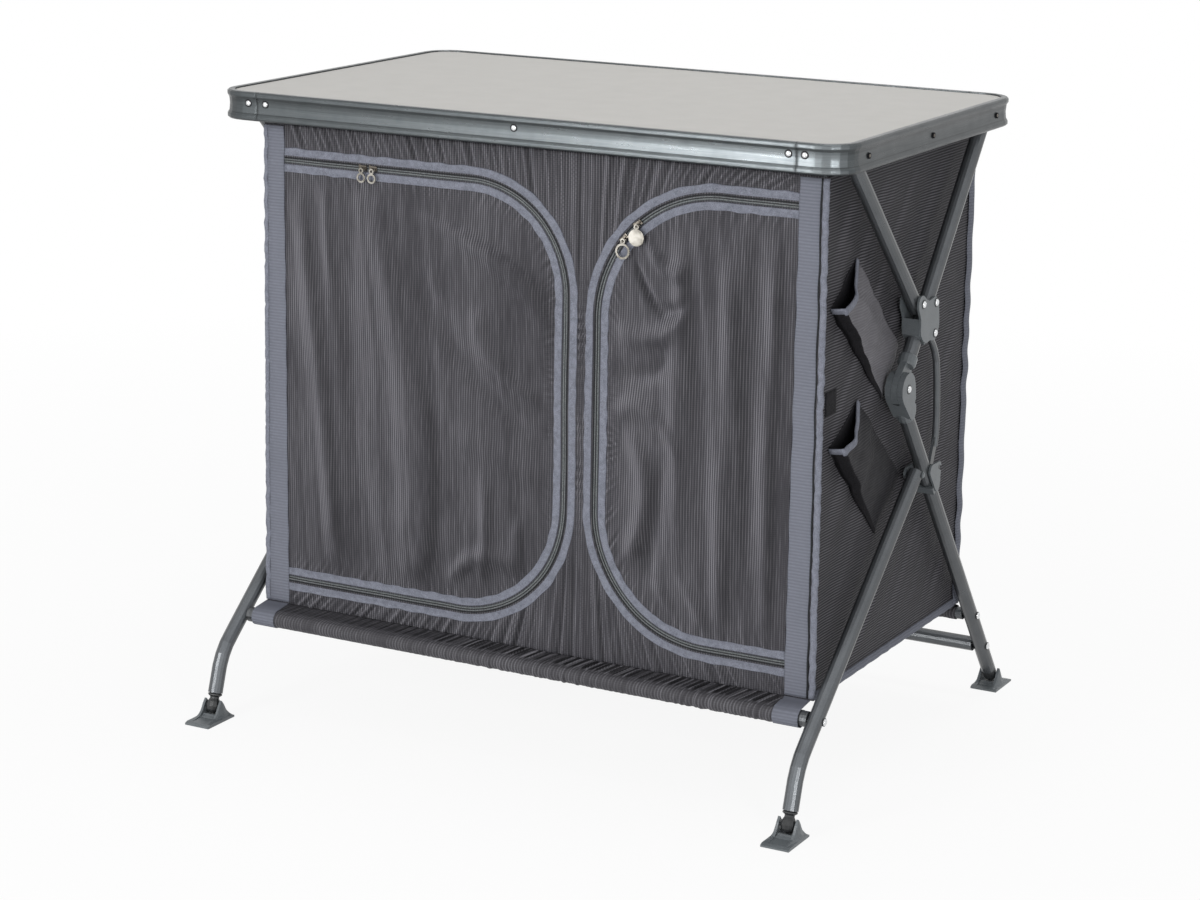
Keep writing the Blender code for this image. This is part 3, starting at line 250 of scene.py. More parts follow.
def make_corded(name, axis, ground, thread, sharp, fold_light_gain, pitch, roughness, bump, painted_shade_span=(0.62, 1.36),
                even=(0.45, 1.5, 1.4), slant=0.0, **finish):
    """Corded cloth: fine uneven threads on a darker ground, with painted light and shade from the folds: the
    threads are painted paler where a fold turns to the front and up, and the whole colour lighter or darker
    by how it turns.
    """
    tree, shader = new_look(name, roughness, **finish)
    place = own_place(tree)
    if slant:
        x, y, z = add_node(tree, "SeparateXYZ", {0: place}).outputs
        leant = calc(tree, "MULTIPLY_ADD", y, -slant, x)
        place = add_node(tree, "CombineXYZ", {0: leant, 1: y, 2: z}).outputs[0]
    cords = calc(tree, "POWER", ribs(tree, place, axis, pitch), sharp)
    weave = ribs(tree, place, "Z" if axis == "X" else "Y", WEAVE_PITCH)
    fleck = noise(tree, place, FLECKS[axis])
    patch = noise(tree, place, PATCHES[axis])
    painted_fold_shade = add_node(tree, "Attribute", attribute_name="painted_fold_shade").outputs["Fac"]
    middle, fleck_share, patch_share = even
    weight = calc(tree, "MULTIPLY_ADD", patch, patch_share, middle - 0.5 * (fleck_share + patch_share))
    weight = calc(tree, "MULTIPLY_ADD", fleck, fleck_share, weight)
    # Painted highlight: threads paler where a fold turns to the front and up.
    weight = calc(tree, "MULTIPLY_ADD", calc(tree, "MAXIMUM", painted_fold_shade, 0.0), fold_light_gain, weight)
    share = calc(tree, "MULTIPLY", cords, calc(tree, "MAXIMUM", weight, LEAST_THREAD))
    share = calc(tree, "MULTIPLY_ADD", weave, WEAVE_SHARE, share)
    # Painted light and shade: the whole colour lighter or darker by how a fold turns.
    painted_shade_level = remap(tree, painted_fold_shade, -1.0, 1.0, *painted_shade_span)
    colour = mix_colours(tree, share, ground, thread)
    set_inputs(tree, shader, {"Base Color": scale_colour(tree, colour, painted_shade_level)})
    add_relief(tree, shader, bump, calc(tree, "MULTIPLY_ADD", fleck, 0.5, cords))


make_corded("cloth_up", "X", (0.036, 0.035, 0.041), (0.172, 0.169, 0.186), 2.2, 0.7, CORD_PITCH, 0.55, 0.0004,
            specular=0.15)
make_corded("cloth_level", "Z", (0.014, 0.0135, 0.016), (0.118, 0.115, 0.127), 1.8, 0.5, CORD_PITCH, 0.6,
            0.0005, painted_shade_span=(0.68, 1.2), even=(0.85, 0.6, 0.4), specular=0.12)
# The two pockets wear one cloth in a lit and a shaded copy: the upper pocket is painted lighter and the lower
# one darker, as painted light and shade.
make_corded("pocket_upper", "Z", (0.13, 0.127, 0.139), (0.215, 0.21, 0.229), 1.3, 0.4, CORD_PITCH, 0.6,
            0.0002, painted_shade_span=(0.5, 1.4), specular=0.15)
make_corded("pocket_lower", "Z", (0.01, 0.0097, 0.012), (0.036, 0.035, 0.04), 1.3, 0.4, CORD_PITCH, 0.6,
            0.0003, painted_shade_span=(0.4, 1.5), specular=0.15)
make_corded("sleeve", "X", (0.034, 0.033, 0.037), (0.104, 0.102, 0.111), 1.6, 1.0, SLEEVE_PITCH, 0.55, 0.0003,
            painted_shade_span=(0.25, 2.6), slant=SLEEVE_SLANT, specular=0.15)
make_corded("tape", "Z", (0.138, 0.146, 0.176), (0.198, 0.209, 0.252), 1.0, 0.3, TAPE_PITCH, 0.7, 0.0002,
            even=(0.6, 0.8, 0.5), specular=0.2)
make_look("cloth_plain", (0.03, 0.029, 0.033), (0.075, 0.073, 0.081), FINE, 0.6, specular=0.2, bump=0.0003)
# A dark look: painted shadow under the pockets' mouths and painted shade on their gussets, and the dark
# colour of the side patch and of the rivet rings.
make_look("shadow_and_dark", (0.006, 0.006, 0.007), (0.018, 0.017, 0.02), FINE, 0.7, specular=0.1, bump=0.0002)
make_look("zip_tape", (0.125, 0.133, 0.165), (0.235, 0.247, 0.295), [(900, 0.6), (160, 0.4)], 0.7,
          specular=0.2, bump=0.0003)
make_look("zip_light", (0.115, 0.127, 0.13), (0.215, 0.231, 0.232), FINE, 0.6, specular=0.2, bump=0.0002)
make_look("zip_line", (0.04, 0.044, 0.05), (0.08, 0.086, 0.095), FINE, 0.6, specular=0.2, bump=0.0002)
make_look("zip_dark", (0.004, 0.005, 0.006), (0.02, 0.022, 0.024), FINE, 0.5, specular=0.2, bump=0.0002)
make_look("laminate", (0.47, 0.46, 0.438), (0.52, 0.508, 0.486), [(30, 0.35), (700, 0.65)], 0.5,
          specular=0.3, bump=0.00004)
make_look("rim", (0.1, 0.112, 0.118), (0.135, 0.148, 0.154), [((16, 16, 900), 0.6), (60, 0.4)], 0.3,
          metallic=0.9, shine=0.03, bands=RIM_PAINTED_BANDS, turned=RIM_PAINTED_SHEEN, soft_edge=0.005)
make_look("rail", (0.1, 0.112, 0.118), (0.135, 0.148, 0.154), [((240, 240, 900), 1.0)], 0.34, metallic=0.8,
          shine=0.05, bump=0.00003)
make_look("steel", (0.06, 0.064, 0.07), (0.13, 0.135, 0.14), [((900, 60, 60), 0.7), (300, 0.3)], 0.42,
          metallic=0.7, shine=0.06)
make_look("paint", (0.086, 0.093, 0.101), (0.118, 0.127, 0.137), [(900, 0.6), (40, 0.4)], 0.3, metallic=0.25,
          specular=0.4, coat=0.2, shine=0.03, bump=0.00003, turned=TUBE_PAINTED_SHEEN)
make_look("nylon", (0.105, 0.118, 0.127), (0.14, 0.155, 0.165), [(700, 0.6), (60, 0.4)], 0.38, bump=0.00005)
make_look("dark_nylon", (0.014, 0.015, 0.016), (0.03, 0.032, 0.034), [(700, 0.5), (60, 0.5)], 0.42,
          bump=0.00006)
make_look("nickel", (0.17, 0.16, 0.14), (0.34, 0.325, 0.295), SMOOTH, 0.42, metallic=1.0, shine=0.05)
make_look("dull_nickel", (0.07, 0.062, 0.052), (0.2, 0.18, 0.155), SMOOTH, 0.25, metallic=1.0, shine=0.08)
make_look("bright", (0.55, 0.56, 0.57), (0.75, 0.76, 0.77), SMOOTH, 0.18, metallic=1.0, shine=0.03)

# Meshes
CLOTH = 0.0008
DRAW_LEFT, DRAW_LEFT_TOP, DRAW_RIGHT_TOP = 0.1, 0.15, 0.09
TRIANGLE_HEIGHT = 0.866
EDGE_CLEARANCE = 0.55


def draw_in(vertices):
    """The case narrows towards its top, beyond the hinge lines of the doors, and more so on the left."""
    vertices = np.array([tuple(vertex) for vertex in vertices])
    x = vertices[:, 0]
    rise = np.clip((vertices[:, 2] - CASE_BOTTOM) / (CASE_TOP - CASE_BOTTOM), 0, 1)
    share = np.where(x < 0, DRAW_LEFT + DRAW_LEFT_TOP * rise, DRAW_RIGHT_TOP * rise)
    vertices[:, 0] = np.sign(x) * (np.abs(x) - share * np.maximum(np.abs(x) - HINGE_X, 0))
    return vertices


def add_object(name, vertices, faces, look, body="root", slot="case_cloth", painted_fold_shade=None):
    """One mesh of the object, in place, that rides on a body and takes the finish given by look; a slot of
    case_cloth on the root draws it in with the case.

    The fold value says at each point how far a fold turns the cloth to the front and up, from -1 to 1; the
    cloth's colour takes it as painted light and shade.
    """
    if body == "root" and slot == "case_cloth":
        vertices = draw_in(vertices)
    mesh = bpy.data.meshes.new(name)
    mesh.from_pydata([tuple(vertex) for vertex in vertices], [], [tuple(face) for face in faces])
    mesh.validate()
    mesh.materials.append(LOOKS[look])
    mesh.shade_smooth()
    if painted_fold_shade is not None:
        turn = mesh.attributes.new("painted_fold_shade", "FLOAT", "POINT")
        turn.data.foreach_set("value", np.asarray(painted_fold_shade, np.float32))
    obj = bpy.data.objects.new(name, mesh)
    bpy.context.scene.collection.objects.link(obj)
    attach(obj, body)
    return obj


def crumple(obj):
    """Give a piece of the case's cloth a mesh of its own."""
    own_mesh(obj)


def thicken(obj, thickness, offset=-1.0):
    modifier = obj.modifiers.new("thickness", "SOLIDIFY")
    modifier.thickness = thickness
    modifier.offset = offset


def hang(piece, node=None, thickness=CLOTH, **held):
    """Give a sheet of the case its thickness, hide the panel it stands for, if any, and give it a mesh of its
    own; how it is held is not used.
    """
    thicken(piece, thickness)
    if node:
        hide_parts(node)
    crumple(piece)


def rectangle(half, low, high):
    return [(-half, low), (half, low), (half, high), (-half, high)]


def inside(points, polygon):
    """Which of the points lie in a polygon, by counting the edges that each one's level line crosses."""
    x, z = points[:, 0], points[:, 1]
    found = np.zeros(len(points), bool)
    for (x1, z1), (x2, z2) in zip(polygon, np.roll(polygon, -1, axis=0)):
        if z1 == z2:
            continue
        crosses = (z1 > z) != (z2 > z)
        found ^= crosses & (x < (x2 - x1) * (z - z1) / (z2 - z1) + x1)
    return found


def between(points, rings):
    """Which of the points lie in the first ring and in none of the others."""
    found = inside(points, rings[0])
    for hole in rings[1:]:
        found &= ~inside(points, hole)
    return found


def divided(polygon, spacing):
    """The polygon with its long edges divided to about the spacing."""
    points = []
    for start, end in zip(polygon, np.roll(polygon, -1, axis=0)):
        count = max(1, round(float(np.linalg.norm(end - start)) / spacing))
        points += [start + (end - start) * step / count for step in range(count)]
    return np.array(points)


def fill(outline, holes, spacing):
    """Even triangles over an outline less its holes: flat points and faces."""
    rings = [divided(np.array(ring, float), spacing) for ring in (outline, *holes)]
    edge = np.vstack(rings)
    tree = kdtree.KDTree(len(edge))
    for index, point in enumerate(edge):
        tree.insert((*point, 0.0), index)
    tree.balance()
    low, high = edge.min(0), edge.max(0)
    row_height = spacing * TRIANGLE_HEIGHT
    rows = []
    for index, z in enumerate(np.arange(low[1] + row_height, high[1], row_height)):
        shift = spacing / 2 if index % 2 else 0.0
        x = np.arange(low[0] + spacing / 2 + shift, high[0], spacing)
        rows.append(np.column_stack((x, np.full(len(x), z))))
    field = np.vstack(rows)
    field = field[between(field, rings)]
    field = np.array([point for point in field if tree.find((*point, 0.0))[2] > EDGE_CLEARANCE * spacing])
    points = np.vstack((edge, field))
    links, start = [], 0
    for ring in rings:
        count = len(ring)
        links += [(start + step, start + (step + 1) % count) for step in range(count)]
        start += count
    flat, _, faces, *_ = geometry.delaunay_2d_cdt([Vector(point) for point in points], links, [], 0, 1e-7)
    flat = np.array([tuple(point) for point in flat])
    faces = np.array([face for face in faces if len(face) == 3])
    return flat, faces[between(flat[faces].mean(1), rings)]


def grid_faces(rows, columns, closed=False):
    """Quads of a grid of points listed row by row, each row open or closed."""
    faces = []
    for row in range(rows - 1):
        for column in range(columns if closed else columns - 1):
            here, beside = row * columns + column, row * columns + (column + 1) % columns
            faces.append((here, beside, beside + columns, here + columns))
    return faces


def face_outward(obj):
    shape = bmesh.new()
    shape.from_mesh(obj.data)
    bmesh.ops.recalc_face_normals(shape, faces=shape.faces)
    shape.to_mesh(obj.data)
    shape.free()


def sweep(name, rings, look, body="root"):
    """A solid of cloth through closed rings of points, its two ends filled."""
    count = len(rings[0])
    last = (len(rings) - 1) * count
    faces = grid_faces(len(rings), count, closed=True)
    faces += [tuple(reversed(range(count))), tuple(range(last, last + count))]
    obj = add_object(name, [point for ring in rings for point in ring], faces, look, body)
    face_outward(obj)
    return obj


# Folds and gathers
TURN_STEP = 0.0015
# Gains from the slope of a fold to the cloth's painted light and shade.
FRONT_SHADE_GAIN, DOOR_SHADE_GAIN, SIDE_SHADE_GAIN, POUCH_SHADE_GAIN = 1.6, 2.6, 4.0, 60
DOOR_BELLY = 0.0058
FOLD_GAIN = 1.25
FRONT_FACE = -CASE_Y
TURN_Z = CASE_BOTTOM - 0.0012
TURN_UNDER = 0.018
FAN_X = 0.072
FAN_TOP_Z, FAN_LOW_Z = 0.735, 0.16
RIPPLE_TERMS, RIPPLE_LEVEL = 6, 1.1

# Folds of the doors in millimetres: three points across and up, then the width and the height
DOOR_FOLDS = {
    "left": [(-335, 680, -303, 470, -272, 190, 13, 5.0), (-228, 680, -176, 500, -163, 200, 22, 5.5),
             (-150, 450, -136, 380, -160, 190, 13, 3.0), (-120, 655, -30, 610, 30, 500, 26, 6.0),
             (-160, 610, -95, 500, 20, 395, 20, -3.5), (-60, 560, -20, 470, 30, 440, 14, 3.0),
             (-60, 350, -56, 280, -66, 200, 9, 2.8), (-110, 210, -60, 245, 0, 225, 14, 3.5),
             (-10, 300, -12, 250, -4, 210, 8, 2.2), (-255, 640, -245, 400, -225, 200, 16, -3.0),
             (-290, 700, -286, 640, -280, 560, 7, 1.8), (-100, 400, -40, 375, 25, 350, 16, 2.2)],
    "right": [(208, 655, 205, 520, 214, 290, 14, 4.5), (135, 655, 165, 597, 212, 590, 10, -5.0),
              (150, 672, 175, 640, 215, 632, 11, 4.0), (112, 560, 150, 545, 205, 568, 14, 4.0),
              (110, 510, 150, 500, 195, 520, 12, -2.6), (112, 450, 150, 462, 205, 420, 14, 3.6),
              (142, 430, 162, 350, 136, 270, 12, 4.2), (185, 400, 180, 330, 160, 240, 12, -3.0),
              (272, 690, 268, 450, 262, 200, 12, 3.0), (330, 690, 322, 450, 328, 200, 10, 3.0),
              (298, 690, 300, 450, 290, 200, 12, -2.2), (215, 260, 235, 220, 250, 190, 9, 2.5),
              (180, 250, 200, 215, 215, 195, 8, 2.2)],
}


def smoothstep(value, low, high):
    share = np.clip((value - low) / (high - low), 0, 1)
    return share * share * (3 - 2 * share)


def ripple(t, seed, pitch, spread=0.3):
    """An uneven wave of about this pitch, mostly between -1 and 1."""
    draw = np.random.default_rng(seed)
    total = 0.0
    for _ in range(RIPPLE_TERMS):
        length = pitch * (1 + spread * draw.uniform(-1, 1))
        total = total + np.sin(2 * math.pi * t / length + draw.uniform(0, 2 * math.pi))
    return total / math.sqrt(RIPPLE_TERMS) / RIPPLE_LEVEL


def turn_of(swell, across, up, fold_light_gain):
    """How far a swelling surface turns to the low side across it and up, from -1 to 1, which the cloth's
    colour takes as painted light and shade.
    """
    sideways = swell(across + TURN_STEP, up) - swell(across - TURN_STEP, up)
    upward = swell(across, up - TURN_STEP) - swell(across, up + TURN_STEP)
    return np.clip(fold_light_gain * (sideways + 0.5 * upward) / (2 * TURN_STEP), -1, 1)


def crest(x, z, x1, z1, x2, z2, x3, z3, width, height):
    """A soft ridge along a bent line through three points, fading at its two ends."""
    if abs(x3 - x1) > abs(z3 - z1):
        x, z, x1, z1, x2, z2, x3, z3 = z, x, z1, x1, z2, x2, z3, x3
    t = (z - z1) / (z3 - z1)
    middle = (z2 - z1) / (z3 - z1)
    bend = (x2 - x1 - (x3 - x1) * middle) / (middle * (1 - middle))
    centre = x1 + (x3 - x1) * t + bend * t * (1 - t)
    fade = smoothstep(t, -0.12, 0.22) * (1 - smoothstep(t, 0.78, 1.12))
    return height * fade * np.exp(-((x - centre) / width) ** 2)


def zip_distance(x, z, door):
    """Distance from a door's zip line, negative inside the door."""
    way = 1 if door["inner"] > door["outer"] else -1
    u = (x - door["inner"]) * way
    far = np.maximum.reduce([u, z - door["top"], door["bottom"] - z])
    for radius, reach in ((door["top_radius"], z - (door["top"] - door["top_radius"])),
                          (door["bottom_radius"], door["bottom"] + door["bottom_radius"] - z)):
        side = u + radius
        far = np.where((reach > 0) & (side > 0), np.hypot(side, reach) - radius, far)
    return far


def front_waver(x, z):
    """The slow unevenness that the whole front shares, so that its seams waver with it."""
    return 0.0006 * ripple(x + 0.4 * z, 3, 0.11) + 0.0005 * ripple(z - 0.3 * x, 4, 0.13)


def frame_waver(x, z):
    """The same for the fixed cloth round the doors, which stands a little further out."""
    return 0.0004 + front_waver(x, z)


def door_swell(x, z, label):
    """How far a door's cloth stands out of its plane."""
    door = DOORS[label]
    depth = -zip_distance(x, z, door)
    from_hinge = np.abs(x - door["outer"])
    calm = smoothstep(depth, 0.012, 0.05) * smoothstep(from_hinge, 0.0, 0.03)
    swell = DOOR_BELLY * smoothstep(depth, 0.01, 0.11) * smoothstep(from_hinge, 0.0, 0.08)
    for fold in DOOR_FOLDS[label]:
        swell = swell + FOLD_GAIN * calm * crest(x, z, *(number / 1000 for number in fold))
    seed = 20 if label == "left" else 30
    lean = x + 0.1 * (z - 0.45) + 0.006 * np.sin(z * 9.0)
    swell = swell + calm * 0.0004 * ripple(lean, seed, 0.034) + calm * 0.00012 * ripple(lean, seed + 1, 0.013)
    run = np.arctan2(x - (door["outer"] + door["inner"]) / 2, z - 0.45) * 0.26
    near = np.exp(-((depth - 0.016) / 0.012) ** 2) * smoothstep(depth, 0.008, 0.016)
    swell = swell + near * smoothstep(from_hinge, 0.0, 0.02) * 0.0005 * ripple(run, seed + 2, 0.013, 0.5)
    return swell + front_waver(x, z)


def panel_swell(x, z):
    """How far the fixed front cloth stands out of its plane: gathers that fan out from between the doors."""
    away = x - FAN_X
    top_slant = np.clip(1.7 * away, -0.45, 2.0) + np.where(away > 0, 14.0 * away ** 2, 0.0)
    low_slant = -1.3 * np.tanh(2.6 * away)
    top = x - top_slant * (z - FAN_TOP_Z)
    low = x - low_slant * (z - FAN_LOW_Z)
    upper = smoothstep(z, 0.57, 0.64)
    lower = 1 - smoothstep(z, 0.24, 0.31)
    middle = (1 - upper) * (1 - lower)
    gathers = middle * 0.0014 * ripple(z + 0.35 * x, 45, 0.012)
    for share, place, seed in ((upper, top, 41), (lower, low, 43)):
        gathers = gathers + share * (0.0013 * ripple(place, seed, 0.016, 0.5)
                                     + 0.0006 * ripple(place, seed + 1, 0.008, 0.5))
    edge = np.minimum.reduce([zip_distance(x, z, door) for door in DOORS.values()])
    calm = smoothstep(edge, 0.01, 0.022) * (1 - smoothstep(np.abs(x), 0.34, 0.352))
    return frame_waver(x, z) + calm * gathers


# Front cloth, its zips and its doors
PATH_STEP, COIL_STEP = 0.004, 0.0011
FLUTTER_FROM = 0.008
FRAME_GAP, LEAF_GAP = 0.0006, 0.003
FRONT_GRID, DOOR_GRID, SIDE_GRID, BACK_GRID, DIVIDER_GRID = 0.0029, 0.0036, 0.0045, 0.005, 0.008


def zip_path(door, step=PATH_STEP):
    """Points along a door's zip from its hinge side over the free edge and back, and the way out at each."""
    way = 1 if door["inner"] > door["outer"] else -1
    spots, outward = [], []

    def straight(start, end, normal):
        count = max(2, round(math.dist(start, end) / step))
        for index in range(count):
            t = index / count
            spots.append((start[0] + (end[0] - start[0]) * t, start[1] + (end[1] - start[1]) * t))
            outward.append(normal)

    def bend(centre, radius, first, last):
        count = max(4, round(radius * math.radians(abs(last - first)) / step))
        for index in range(count):
            angle = math.radians(first + (last - first) * index / count)
            normal = (way * math.cos(angle), math.sin(angle))
            spots.append((centre[0] + radius * normal[0], centre[1] + radius * normal[1]))
            outward.append(normal)

    high, low = door["top_radius"], door["bottom_radius"]
    start_x = door["outer"]
    top_x, low_x = door["inner"] - way * high, door["inner"] - way * low
    straight((start_x, door["top"]), (top_x, door["top"]), (0, 1))
    bend((top_x, door["top"] - high), high, 90, 0)
    straight((door["inner"], door["top"] - high), (door["inner"], door["bottom"] + low), (way, 0))
    bend((low_x, door["bottom"] + low), low, 0, -90)
    straight((low_x, door["bottom"]), (start_x, door["bottom"]), (0, -1))
    spots.append((start_x, door["bottom"]))
    outward.append((0, -1))
    return np.array(spots), np.array(outward)


def door_outline(door, gap):
    """A door's outline drawn in from its zip line by a gap, as flat points."""
    spots, outward = zip_path(door)
    return spots - outward * gap


def door_area(door):
    corners = (1 - math.pi / 4) * (door["top_radius"] ** 2 + door["bottom_radius"] ** 2)
    return abs(door["inner"] - door["outer"]) * (door["top"] - door["bottom"]) - corners


def run_along(points):
    """The distance from the first point to each, along the points."""
    return np.concatenate(([0.0], np.cumsum(np.linalg.norm(np.diff(points, axis=0), axis=1))))


def lay_band(name, path, profile, look, body, swell, flutter=0.0, seed=0, teeth=0.0):
    """A band swept along a zip: profile points are (distance out from the zip, height above the cloth)."""
    spots, outward = path
    drift = flutter * ripple(run_along(spots), seed, 0.037)
    out, height = np.array(profile).T
    rings = []
    for index, (spot, way) in enumerate(zip(spots, outward)):
        shift = out + drift[index] * (np.abs(out) > FLUTTER_FROM)
        x, z = (spot + way * shift[:, None]).T
        y = FRONT_FACE - swell(x, z) - height * (1 - teeth * (index % 2))
        rings.append(np.column_stack((x, y, z)))
    return sweep(name, rings, look, body)


def zip_profiles(fixed):
    """What lies across one side of a zip: each band's finish and its profile."""
    near, far, tooth = (0.0018, 0.0034, 0.0013) if fixed else (0.0034, 0.0041, 0.0015)
    return {
        "ribbon": ("zip_light", ((0.0004, 0.0002), (0.0004, 0.0007), (0.0066, 0.0008), (0.0066, 0.0002))),
        "welt": ("zip_dark" if fixed else "zip_line",
                 ((near, 0.0003), (near, 0.0011), (far, 0.0011), (far, 0.0003))),
        "binding": ("zip_tape", ((0.0055, 0.0003), (0.0054, 0.0015), (0.0064, 0.0019), (0.0074, 0.0014),
                                 (0.0136, 0.0014), (0.0145, 0.0019), (0.0152, 0.0013), (0.0152, 0.0002))),
        "coil": ("zip_light" if fixed else "zip_dark",
                 ((0.0001, 0.0002), (0.0001, 0.0012), (0.0007, 0.0015), (tooth - 0.0001, 0.001),
                  (tooth, 0.0002))),
    }


def lay_zip(label, side):
    """One side of a door's zip, sewn to the frame of the opening or to the leaf."""
    fixed = side == "frame"
    body, share, swell = ("root", 1, frame_waver) if fixed else (f"door_{label}", -1, front_waver)
    bands = []
    for part, (look, profile) in zip_profiles(fixed).items():
        path = zip_path(DOORS[label], COIL_STEP if part == "coil" else PATH_STEP)
        profile = [(share * out, height) for out, height in profile]
        ways = {"coil": dict(teeth=0.35), "binding": dict(flutter=0.0005, seed=60 + share)}.get(part, {})
        bands.append(lay_band(f"zip_{label}_{side}_{part}", path, profile, look, body, swell, **ways))
        crumple(bands[-1])
    return bands


def dress_front():
    low = TURN_Z - TURN_UNDER
    holes = [door_outline(door, FRAME_GAP) for door in DOORS.values()]
    flat, faces = fill(rectangle(CASE_X, low, CASE_TOP), holes, FRONT_GRID)
    under = np.maximum(TURN_Z - flat[:, 1], 0)
    x, z = flat[:, 0], flat[:, 1] + under
    vertices = np.column_stack((x, FRONT_FACE - panel_swell(x, z) + under, z))
    painted_fold_shade = turn_of(panel_swell, x, z, FRONT_SHADE_GAIN)
    panel = add_object("front_cloth", vertices, faces[:, ::-1], "cloth_up", painted_fold_shade=painted_fold_shade)
    zips = {(label, side): lay_zip(label, side) for label in DOORS for side in ("frame", "leaf")}
    width, height = 2 * CASE_X, CASE_TOP - low
    openings = sum(door_area(door) for door in DOORS.values())
    hang(panel, "front_panel", flat=(width, height), held="stretched", rests_on=["rail_left", "rail_right"],
         area=width * height - openings, with_pieces=zips["left", "frame"] + zips["right", "frame"])
    for label in DOORS:
        dress_door(label, zips[label, "leaf"])


def dress_door(label, bands):
    door = DOORS[label]
    flat, faces = fill(door_outline(door, LEAF_GAP), [], DOOR_GRID)
    x, z = flat.T
    vertices = np.column_stack((x, FRONT_FACE - door_swell(x, z, label), z))
    painted_fold_shade = turn_of(lambda x, z: door_swell(x, z, label), x, z, DOOR_SHADE_GAIN)
    leaf = add_object(f"door_cloth_{label}", vertices, faces[:, ::-1], "cloth_up", f"door_{label}",
                      painted_fold_shade=painted_fold_shade)
    hang(leaf, f"door_{label}", flat=(abs(door["inner"] - door["outer"]), door["top"] - door["bottom"]),
         held="hung", rests_on=["front_cloth"], area=door_area(door), with_pieces=bands)


dress_front()

# Webbing down the front corners, with its stitch line and the wavy binding of the corner
BINDING_X, BINDING_WIDE, BINDING_DEEP = 0.3866, 0.0044, 0.0026
WEBBING_RISE = 0.0003
SEAM_HEIGHTS = np.arange(CASE_BOTTOM + 0.001, CASE_TOP, 0.004)


def dress_corner(label, side):
    sway = 0.0006 * ripple(SEAM_HEIGHTS, 71 + side, 0.06)
    frill = (0.0006 * ripple(SEAM_HEIGHTS, 81 + side, 0.026)
             + 0.0003 * ripple(SEAM_HEIGHTS, 83 + side, 0.011))
    end, gap = (0.3798, 0.002) if side > 0 else (0.3826, 0.0004)
    bound = [(BINDING_X + BINDING_WIDE * math.cos(turn), BINDING_DEEP * math.sin(turn))
             for turn in np.linspace(0, 2 * math.pi, 15)[:-1]]
    profiles = {
        "webbing": ("tape", 1.0, ((0.351, 0.0003), (0.3511, 0.0015), (0.353, 0.0021), (0.37, 0.0023),
                                  (end - 0.0006, 0.0021), (end, 0.0014), (end, 0.0003))),
        "groove": ("zip_dark", 1.0, ((end - 0.0004, 0.0002), (end - 0.0004, 0.0014), (end + gap, 0.0014),
                                     (end + gap, 0.0002))),
        "binding": ("zip_tape", 0.3, bound),
    }
    for part, (look, share, profile) in profiles.items():
        x, rise = np.array(profile).T
        rings = []
        for z, shift, wave in zip(SEAM_HEIGHTS, sway, frill):
            across = side * (x + share * shift + (wave if part == "binding" else 0.0))
            y = FRONT_FACE - WEBBING_RISE - rise - np.maximum(front_waver(side * x, z), 0)
            rings.append(np.column_stack((across, y, np.full(len(x), z))))
        crumple(sweep(f"corner_{part}_{label}", rings, look))


for label, side in SIDES:
    dress_corner(label, side)

# Side and back cloth
PANEL_X = CASE_X - CLOTH
REAR_PROFILE = ((0.0026, 0.0046), (0.003, -0.001), (0.0012, -0.009), (0.0002, -0.0092), (-0.001, -0.001),
                (-0.006, 0.001), (-0.006, 0.0022), (-0.0006, 0.004))


def side_swell(y, z, side):
    """Gentle slanted wrinkles of a side panel, calm along its edges."""
    edge = np.minimum.reduce([CASE_Y - np.abs(y), z - CASE_BOTTOM, CASE_TOP - z])
    calm = smoothstep(edge, 0.004, 0.06)
    slant = y * 0.75 - z * 0.62
    other = y * 0.55 + z * 0.8
    return (calm * (0.0012 * ripple(slant, 91 + side, 0.085) + 0.0007 * ripple(other, 94 + side, 0.06)
                    + 0.0004 * ripple(slant, 97 + side, 0.028)) + 0.0003 * ripple(z, 99, 0.12))


def hem_side(label, side):
    """The hem along a side panel's lower edge."""
    rings = []
    for y in np.linspace(-CASE_Y + 0.002, CASE_Y - 0.001, 110):
        out = 0.0004 * ripple(y, 101 + side, 0.03)
        profile = [(-0.0016, -0.0012), (0.0016 + out, -0.0014), (0.002 + out, 0.001),
                   (0.0016 + out, 0.0078), (0.0004, 0.0084), (-0.0016, 0.008)]
        rings.append([(side * (CASE_X - 0.0006 + px), y, CASE_BOTTOM + pz) for px, pz in profile])
    return sweep(f"side_hem_{label}", rings, "tape")


def bind_rear(label, side):
    """The binding down a rear corner."""
    rings = []
    for z, shift in zip(SEAM_HEIGHTS, 0.0008 * ripple(SEAM_HEIGHTS, 105 + side, 0.05)):
        across, back = CASE_X + 0.5 * shift, CASE_Y + shift
        rings.append([(side * (across + px), back + py, z) for px, py in REAR_PROFILE])
    return sweep(f"rear_binding_{label}", rings, "tape")


def dress_side(label, side):
    flat, faces = fill(rectangle(CASE_Y, CASE_BOTTOM, CASE_TOP), [], SIDE_GRID)
    y, z = flat.T
    vertices = np.column_stack((side * (PANEL_X + side_swell(y, z, side)), y, z))
    painted_fold_shade = turn_of(lambda y, z: side_swell(y, z, side), y, z, SIDE_SHADE_GAIN)
    panel = add_object(f"side_cloth_{label}", vertices, faces[:, ::side], "cloth_level", painted_fold_shade=painted_fold_shade)
    sewn = [hem_side(label, side), bind_rear(label, side)]
    hang(panel, f"side_panel_{label}", flat=(2 * CASE_Y, CASE_TOP - CASE_BOTTOM), held="stretched",
         rests_on=[f"rail_{label}"], with_pieces=sewn)
    for piece in sewn:
        crumple(piece)


